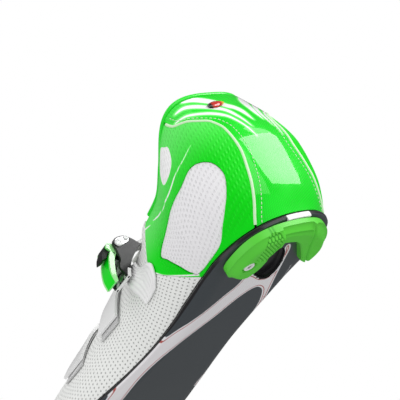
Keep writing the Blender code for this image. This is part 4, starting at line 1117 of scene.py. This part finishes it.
def build_window(side, word):
    """The mesh sits a little behind the film, as a fan of rings about the window's middle."""
    window = spline(WINDOW, WINDOW_POINTS, closed=True)
    ca, ch = WINDOW_MIDDLE
    u = np.linspace(0.004, 0.99, 40)[:, None]
    a = ca + (window[:, 0] - ca) * u
    h = ch + (window[:, 1] - ch) * u
    top = on_upper(side * a, h, 0 * a - 0.55)
    under = on_upper(side * a, h, 0 * a - 1.35)
    made = skin(f"quarter_weave_{word}", top, under, ring=True)
    height_uv(made, a, h)
    finish_piece(made, "window", "white_mesh", f"quarter_mesh_{word}")


def height_uv(made, a, h):
    """Gives both layers of a ring the coordinates of the upper's own net."""
    pairs = np.tile(net(a, h).reshape(-1, 2), (2, 1))
    corners = np.zeros(len(made.data.loops), np.int32)
    made.data.loops.foreach_get("vertex_index", corners)
    if len(made.data.vertices) == len(pairs):
        made.data.uv_layers["millimetres"].data.foreach_set("uv", pairs[corners].astype(np.float32).ravel())


def build_forefoot(side, word):
    made = panel(f"forefoot_weave_{word}", lambda h: side * (smooth(QUARTER_FRONT, h) + 0.001),
                 side * around_at(VAMP_START - 0.4), 0, 0.99, (150, 50), 1.3)
    finish_piece(round_edges(made, 0.3), "forefoot", "white_mesh", f"forefoot_panel_{word}")


STITCH_INSET = 0.034 + 2.2 / 60


def build_piping(side, word):
    h = np.linspace(0.012, 0.93, 140)
    a = side * smooth(COUNTER_SEAM, h)
    path = on_upper(a, h, 0 * h - 0.25)
    made = tube(f"piping_{word}", path, 0.78, 12, upper_normal(a, h))
    finish_piece(made, "piping", "white_film", f"seam_piping_{word}")
    row = side * (smooth(COUNTER_SEAM, h) - STITCH_INSET)
    stitches(f"counter_stitches_{word}", on_upper(row, h, 0 * h), upper_normal(row, h),
             "thread", "white_film", 2.1, 1.5, 0.2)


def build_collar():
    a = np.linspace(-1.12, 1.12, 240)
    path = upper(a, 1.0) + [0, 0, 0.4] - upper_normal(a, 0.99) * 1.5
    made = tube("collar_roll", path, 1.35, 16)
    finish_piece(made, "edge", "green_film", "collar_binding")

    u, v = np.linspace(0, 1, 90)[:, None], np.linspace(0, 1, 40)[None, :]
    a, h = np.broadcast_arrays(-1.12 + 2.24 * u, 0.03 + 0.895 * v)
    outside = -4.1 + 1.4 * np.clip((h - 0.6) / 0.15, 0, 1)
    thick = 1.6 + 4.2 * np.sin(math.pi * np.clip((h - 0.35) / 0.65, 0, 1)) ** 2
    made = skin("collar_padding", on_upper(a, h, outside), on_upper(a, h, outside - thick))
    puff(made, 1.56, 0.75)
    finish_piece(made, "lining", "lining", "collar_lining")


CLOTH_FRAMES = 10


def puff(made, voxel, swell):
    """Remeshes a pad, lets cloth under pressure swell it by `swell` at most, and smooths the result."""
    rest_box = np.array([v.co for v in made.data.vertices])
    remesh = made.modifiers.new("voxels", "REMESH")
    remesh.mode = "VOXEL"
    remesh.voxel_size = voxel * MM
    remesh.use_smooth_shade = True
    bake_modifiers(made)
    before = np.array([v.co for v in made.data.vertices])
    cloth = made.modifiers.new("cloth", "CLOTH")
    cloth.settings.quality = 4
    cloth.settings.mass = 0.2
    cloth.settings.use_pressure = True
    cloth.settings.uniform_pressure_force = 2.0
    cloth.settings.effector_weights.gravity = 0
    scene = bpy.context.scene
    for number in range(1, CLOTH_FRAMES + 1):
        scene.frame_set(number)
    bake_modifiers(made)
    after = np.array([v.co for v in made.data.vertices])
    move = after - before
    far = np.linalg.norm(move, axis=1, keepdims=True)
    move *= np.minimum(1, swell * MM / np.maximum(far, 1e-9))
    low, high = rest_box.min(0), rest_box.max(0)
    kept = np.clip(before + move, low, high).astype(np.float32)
    made.data.vertices.foreach_set("co", kept.ravel())
    scene.frame_set(1)
    relax = made.modifiers.new("relax", "SMOOTH")
    relax.factor = 0.5
    relax.iterations = 6
    bake_modifiers(made)
    made.data.shade_smooth()


def build_vamp():
    def halves(v):
        return np.where(v < 0.5, 1, -1), 1 - np.abs(v - 0.5) * 2

    def offset(a, h, out):
        normal = upper_normal(a, h)
        other = upper_normal(-a, h)
        seam = ((h > 0.985) | (np.abs(a) > 2.985))[..., None]
        return upper(a, h) + np.where(seam, unit(normal + other), normal) * out

    v = np.linspace(0, 1, 141)[None, :]
    side, h = halves(v)
    for name, start, end, rows, look, slot, node in (
            ("vamp_weave", around_at(VAMP_START + 0.4), 2.0, 60, "forefoot", "white_mesh", "vamp"),
            ("toe_shell", 2.004, 3.0, 60, "quarter", "green_film", "toe_cap")):
        a = side * np.linspace(start, end, rows)[:, None]
        hh = np.broadcast_to(h, a.shape)
        top, under = offset(a, hh, 0.0), offset(a, hh, -1.4)
        marks = {"line": np.full(a.shape, 9.0), "relief": np.full(a.shape, 0.4), "height": hh * 0.4}
        made = skin(name, top, under, marks)
        finish_piece(round_edges(made, 0.3), look, slot, node)


def build_tongue():
    u, v = np.linspace(0, 1, 70)[:, None], np.linspace(0, 1, 60)[None, :]
    c = (0.36 + 0.06 * u) * (1 - 2 * v)
    station = np.broadcast_to(76 + 106 * u, c.shape)
    top = across(station, c, np.full(c.shape, -2.2))
    under = across(station, c, -2.2 - (3.4 - 1.2 * u) + 0 * c)
    made = skin("tongue_pad", top, under)
    puff(made, 1.32, 0.5)
    finish_piece(made, "lining", "lining", "tongue")


def build_badge():
    u, v = np.linspace(0, 1, 50)[:, None], np.linspace(0, 1, 30)[None, :]
    swell = np.sin(math.pi * np.clip(0.08 + 0.92 * u, 0, 1)) ** 0.6
    h = 0.83 + (v - 0.5) * 0.055 * swell + 0.02 * u
    a = np.broadcast_to(0.17 - 0.165 * u, h.shape)
    dome = np.sqrt(np.clip(1 - (2 * v - 1) ** 2, 0, 1)) * np.clip(swell, 0, 1) ** 0.5
    made = skin("heel_drop", on_upper(a, h, 0.4 + 1.3 * dome), on_upper(a, h, 0 * h + 0.35),
                {"along": np.broadcast_to(u, h.shape)})
    finish_piece(made, "badge", "badge_gloss", "heel_badge")


# ------------------------------------------------------------------ instep closure

def build_wings():
    u, v = np.linspace(0, 1, 80)[:, None], np.linspace(0, 1, 48)[None, :]
    ribs = 0.45 * np.abs(np.sin(math.pi * 7 * v)) * np.clip(v / 0.06, 0, 1) * np.clip((1 - v) / 0.06, 0, 1)
    toe_edge = 103 - 16 * u
    station = toe_edge + (smooth(WING_HEEL_EDGE, u) - toe_edge) * v
    fade = ease((0.85 - u) / 0.35)
    rise = 2.4 * np.maximum(0, (station - 80) / 16) * fade

    def outer(layer):
        return on_upper(around_at(station), 0.84 - 0.53 * u + 0 * v, 0.45 + rise + (0.75 + ribs) * layer)
    made = skin("wing_outer", outer(1), outer(0))
    finish_piece(round_edges(made, 0.3), "white", "white_film", "instep_wing_outer")

    def inner(layer):
        station = INSTEP_STATION + 1 + 3 * u + (v - 0.5) * 18
        return across(station, -0.34 - 0.5 * u + 0 * v, 0.6 + layer + 0 * station)
    made = skin("wing_inner", inner(1), inner(0))
    finish_piece(round_edges(made, 0.3), "white", "white_film", "instep_wing_inner")


def on_circle(profile):
    """Points of the instep circle, seen along Y, from (degrees, radius) pairs."""
    angle, radius = np.array(profile, float).T
    angle = np.radians(angle)
    return np.stack([INSTEP_CENTRE[0] + radius * np.sin(angle),
                     INSTEP_CENTRE[1] + radius * np.cos(angle)], -1)


def circle_slab(name, start, end, low, high, y_low, y_high, steps):
    """Part of the instep circle, from one angle to another."""
    angles = np.linspace(start, end, steps)
    section = [(a, low) for a in angles] + [(a, high) for a in angles[::-1]]
    return prism(name, on_circle(section), y_low, y_high, LEVEL)


def build_ladder():
    y = station_y(INSTEP_STATION)
    low, high = LADDER_R - 0.5, LADDER_R + 1.6
    profile = [(-76.0 + 2.5 * k, high) for k in range(36)]
    for k in range(11):
        foot = TEETH_START + 3.2 * k
        profile += [(foot, high), (foot + 0.25, high - 0.9), (foot + 1.0, high - 0.7),
                    (foot + 2.6, high - 0.08)]
    profile.append((LADDER_END, high - 0.9))
    under = [(LADDER_END - 3.0 * k, low) for k in range(44)]
    made = prism("ladder", on_circle(profile + under), y - LADDER_WIDTH / 2, y + LADDER_WIDTH / 2, LEVEL)
    round_edges(made, 0.2, 2, 25)
    cut(made, circle_slab("cutter", -72.5, -55.5, 30, 40, y - 2.2, y + 2.2, 9))
    finish_piece(made, "ladder", "white_film", "ladder_strap", body="ladder")
    made = circle_slab("instep_cushion", -27, 12, LADDER_R - 3.0, LADDER_R - 0.9, y - 13, y + 9, 21)
    puff(made, 0.72, 0.25)
    finish_piece(made, "lining", "lining", "instep_pad")


def build_buckle():
    place = local_frame(BUCKLE_ANGLE, BUCKLE_R)
    half = LADDER_WIDTH / 2 + 0.5
    y = station_y(INSTEP_STATION)
    base = circle_slab("buckle_channel", BUCKLE_START, BUCKLE_END, BUCKLE_LOW, BUCKLE_HIGH,
                       y - half - BUCKLE_CHEEK, y + half + BUCKLE_CHEEK, 40)
    foot = [(x, 0.2 + math.sqrt(BUCKLE_R**2 - x**2) - BUCKLE_R) for x in np.linspace(11, -14, 12)]
    top = spline([(-14.4, 3), (-13.4, 7.6), (-9.3, 11.4), (-5.3, 11.8), (-1.8, 8.7), (3, 5.5), (8, 4.7),
                  (10.8, 0)], 30)
    cheek = np.concatenate([np.array(foot), top])
    for low in (-half - BUCKLE_CHEEK, half):
        wall = prism("cheek", cheek, low, low + BUCKLE_CHEEK, place)
        combine(base, wall, "UNION")
    for pin, radius in ((LEVER_PIN, LEVER_BORE), (HOLD_PIN, HOLD_BORE)):
        cut(base, prism("cutter", arc(*pin, radius, 0, 345, 24), -20, 20, place))
    round_edges(base, 0.25, 2, 35)
    finish_piece(base, "black", "black_nylon", "buckle_base")
    sleeve = circle_slab("wing_sleeve", 57, 65.6, 32.8, 34.75, y - half - 2.1, y + half + 2.1, 12)
    cut(sleeve, circle_slab("cutter", 56.2, 64.8, 30, 40, y - 2.6, y + 2.6, 3))
    finish_piece(round_edges(sleeve, 0.35), "white", "white_film")
    plate = rounded([(-13.8, 4.8), (-12.2, 8.2), (-8.2, 11.6), (-4.6, 11.2), (-4.0, 8.0), (-7.4, 6.4),
                     (-11.0, 4.2)], 1.4)
    made = prism("hinge_plate", plate, half + 1.62, half + 2.1, place)
    finish_piece(round_edges(made, 0.14), "steel", "steel")
    for word, (x, z), radius in (("lever", LEVER_PIN, 2.1), ("pawl", HOLD_PIN, 1.3)):
        turn = Matrix.Translation((x, half, z)) @ Matrix.Rotation(math.radians(-90), 4, "X")
        profile = [(0, 2.0), (radius, 2.0), (radius, 2.5), (radius - 0.35, 2.8), (radius - 0.9, 2.85),
                   (radius - 1.1, 2.65), (0, 2.6)]
        finish_piece(lathe(f"{word}_pin_head", profile, place @ turn), "zinc", "steel")
    build_lever(place, half)


def build_lever(place, half):
    px, pz = LEVER_PIN
    outline = np.concatenate([
        arc(px, pz, 2.9, 150, 290, 16),
        spline([(px + 3, pz - 1.3), (px + 9, pz - 1.2), (px + 16, pz - 3.3), (px + 21.5, pz - 6.2)], 20),
        spline([(px + 22.5, pz - 5.1), (px + 18, pz - 1.3), (px + 10, pz + 1.7), (px + 3, pz + 2.3)], 20)])
    lever = prism("lever_paddle", outline, -half + 0.45, half - 0.45, place)
    fork = [(px + 8.3, pz - 8), (px + 8.3, pz + 1.2), (px + 2.1, pz + 1.2), (px + 2.1, pz - 8)]
    cut(lever, prism("cutter", fork, -3.1, 3.1, place))
    ear = rounded([(px + 0.2, pz + 0.8), (px + 5.2, pz + 0.8), (px + 4.4, pz + 5.3), (px + 1, pz + 5.3)],
                  1.2)
    for inner in (-half + 0.45, half - 1.85):
        wall = prism("ear", ear, inner, inner + 1.4, place)
        combine(lever, wall, "UNION")
    for pin, radius in ((LEVER_PIN, LEVER_BORE), (RELEASE_PIN, RELEASE_BORE), (DRIVE_PIN, DRIVE_BORE)):
        cut(lever, prism("cutter", arc(*pin, radius, 0, 345, 24), -20, 20, place))
    round_edges(lever, 0.6, 3, 35)
    finish_piece(lever, "lacquer", "buckle_green", "buckle_lever", body="lever")
    rx, rz = RELEASE_PIN
    tab = rounded([(rx - 2.0, rz - 1.2), (rx + 7, rz - 1.6), (rx + 10, rz + 0.2), (rx + 6.5, rz + 1.2),
                   (rx, rz + 1.4), (rx - 2.0, rz + 0.4)], 0.8)
    release = prism("release_tab", tab, -half + 2.2, half - 2.2, place)
    cut(release, prism("cutter", arc(rx, rz, RELEASE_BORE, 0, 345, 24), -20, 20, place))
    round_edges(release, 0.3, 2, 35)
    finish_piece(release, "soft_black", "black_nylon", "release_lever", body="release")


def build_straps():
    for word, (station, width) in STRAPS.items():
        def ribbon(name, c_from, c_to, out, thick, wide, rows):
            u, v = np.linspace(0, 1, rows)[:, None], np.linspace(0, 1, 24)[None, :]
            s = station + (v - 0.5) * wide + 0 * u
            c = c_from + (c_to - c_from) * u + 0 * v
            return skin(name, across(s, c, out + thick + 0 * c), across(s, c, out + 0 * c))
        made = ribbon(f"strap_{word}_band", 0.62, -0.5, STRAP_OUT, STRAP_THICK, width, 90)
        finish_piece(round_edges(made, 0.35), "white", "white_film", f"strap_{word}",
                     body=f"{word}_strap")
        made = ribbon(f"strap_{word}_loop_field", 0.3, 0.66, 0.4, 0.8, width - 2, 40)
        finish_piece(made, "loop", "insole_foam", f"strap_{word}_landing")
        made = ribbon(f"strap_{word}_root", -0.56, -0.8, 0.35, 0.9, width + 4, 30)
        finish_piece(round_edges(made, 0.25), "white", "white_film", f"strap_{word}_anchor")


def build_insole():
    steps = 120
    board = SOLE_SKIN + BOARD_GAP + BOARD_THICK + BOARD_GAP
    loops = [rim_loop(inset, lambda s, z: bottom_z(s) + board + lift, steps)
             for inset, lift in ((RIM_WIDTH + 4.0, 0), (RIM_WIDTH + 3.4, 1.6), (RIM_WIDTH + 3.4, 3.0),
                                 (RIM_WIDTH + 4.4, 3.8), (RIM_WIDTH + 7.4, 3.9), (RIM_WIDTH + 14, 3.2))]
    points, faces = stacked(loops, steps, 1)
    made = write_mesh("footbed", points, faces, points[:, :2])
    finish_piece(made, "footbed", "insole_foam", "insole")


CAD_LOOKS = {
    "steel": ["cleat_nut_plate", "toe_tread_screw_1", "toe_tread_screw_2", "ladder_anchor_plate",
              "ladder_anchor_screw", "buckle_screw", "lever_pin", "holding_pawl_pin", "release_pin",
              "drive_pawl", "drive_pawl_pin", "holding_pawl"],
    "board": ["lasting_board", "heel_stiffener", "toe_stiffener"],
    "black": ["toe_tread"],
}


def dress_cad():
    for look, nodes in CAD_LOOKS.items():
        for name in nodes:
            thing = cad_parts[name]
            thing.data.materials.clear()
            thing.data.materials.append(LOOKS[look])
            if look != "board":
                round_edges(thing, 0.12, 2, 35)


# ------------------------------------------------------------------ stage

CAMERA_AT = (396.3, 326.3, -173.7)
CAMERA_RIGHT = (-0.7308, 0.4843, -0.4810)
CAMERA_UP = (-0.1127, 0.6093, 0.7849)
CAMERA_LENS = 105.46
WORLD_DIFFUSE, WORLD_GLOSSY = 0.77, 0.13


def build_stage():
    camera = bpy.data.objects.new("camera", bpy.data.cameras.new("camera"))
    bpy.context.scene.collection.objects.link(camera)
    right, up = Vector(CAMERA_RIGHT).normalized(), Vector(CAMERA_UP).normalized()
    back = right.cross(up).normalized()
    up = back.cross(right)
    turn = Matrix((right, up, back)).transposed()
    camera.matrix_world = Matrix.Translation(Vector(CAMERA_AT) * MM) @ turn.to_4x4()
    camera.data.lens = CAMERA_LENS
    camera.data.clip_start = 0.01
    bpy.context.scene.camera = camera

    world = bpy.data.worlds.new("studio")
    world.use_nodes = True
    bpy.context.scene.world = world
    nodes, links = world.node_tree.nodes, world.node_tree.links
    path = nodes.new("ShaderNodeLightPath")
    background = nodes["Background"]
    background.inputs[0].default_value = (1, 1, 1, 1)
    strength = None
    for word, low, high in (("Is Glossy Ray", WORLD_DIFFUSE, WORLD_GLOSSY), ("Is Camera Ray", None, 1.0)):
        blend = nodes.new("ShaderNodeMapRange")
        links.new(path.outputs[word], blend.inputs[0])
        blend.inputs[3].default_value = low or 0.0
        blend.inputs[4].default_value = high
        if strength is not None:
            links.new(strength, blend.inputs[3])
        strength = blend.outputs[0]
    links.new(strength, background.inputs[1])
    bpy.context.scene.view_settings.view_transform = "Standard"

    build_floor()
    for name, around, height, width, length, power in (("heel_softbox", 0.05, 0.262, 0.3, 0.3, 1.5),
                                               ("upper_softbox", 0.02, 0.56, 0.08, 0.1, 0.05)):
        spot = Vector(on_upper(around, height, 0.0)) * MM
        normal = Vector(upper_normal(around, height))
        to_eye = (camera.location - spot).normalized()
        mirror = (2 * normal.dot(to_eye) * normal - to_eye).normalized()
        soft_light(name, spot + mirror * 0.55, spot, width, length, power)
    middle = Vector((0, -0.06, 0.03))
    soft_light("key", middle + back * 0.5 + up * 0.7 + right * 0.3, middle, 0.7, 0.7, 2.2)
    soft_light("left_fill", middle + back * 0.4 - right * 0.8, middle, 0.6, 0.6, 1.0)
    soft_light("top_fill", middle + Vector((0.1, 0.1, 0.9)), middle, 0.8, 0.8, 1.2)


def soft_light(name, place, target, width, height, power):
    data = bpy.data.lights.new(name, "AREA")
    data.shape = "RECTANGLE"
    data.size, data.size_y, data.energy = width, height, power
    lamp = bpy.data.objects.new(name, data)
    bpy.context.scene.collection.objects.link(lamp)
    lamp.location = place
    lamp.rotation_euler = (target - place).to_track_quat("-Z", "Y").to_euler()


def build_floor():
    """Pale floor under the treads. Its underside is clear, so a view from below sees the sole."""
    size = 3.0
    mesh = bpy.data.meshes.new("floor")
    corners = [(-size, -size, 0), (size, -size, 0), (size, size, 0), (-size, size, 0)]
    mesh.from_pydata(corners, [], [range(4)])
    floor = bpy.data.objects.new("floor", mesh)
    bpy.context.scene.collection.objects.link(floor)
    floor.location.z = -0.0005
    look = Look("pale_floor", (0.9, 0.9, 0.9), 0.8)
    clear = look.node("BsdfTransparent")
    blend = look.node("MixShader")
    look.feed(blend.inputs[0], look.node("NewGeometry").outputs["Backfacing"])
    look.feed(blend.inputs[1], look.shader.outputs[0])
    look.feed(blend.inputs[2], clear.outputs[0])
    output = next(n for n in look.tree.nodes if n.type == "OUTPUT_MATERIAL")
    look.feed(output.inputs["Surface"], blend.outputs[0])
    mesh.materials.append(look.material)
    floor.visible_diffuse = floor.visible_glossy = floor.visible_shadow = False


build_sole()
build_heel_pad()
build_pad_screw()
build_heel_tab()
build_counter()
for sign, name in ((OUTER, "outer"), (INNER, "inner")):
    build_quarter(sign, name)
    build_window(sign, name)
    build_forefoot(sign, name)
    build_piping(sign, name)
build_collar()
build_vamp()
build_tongue()
build_badge()
build_wings()
build_ladder()
build_buckle()
build_straps()
build_insole()
dress_cad()
build_stage()
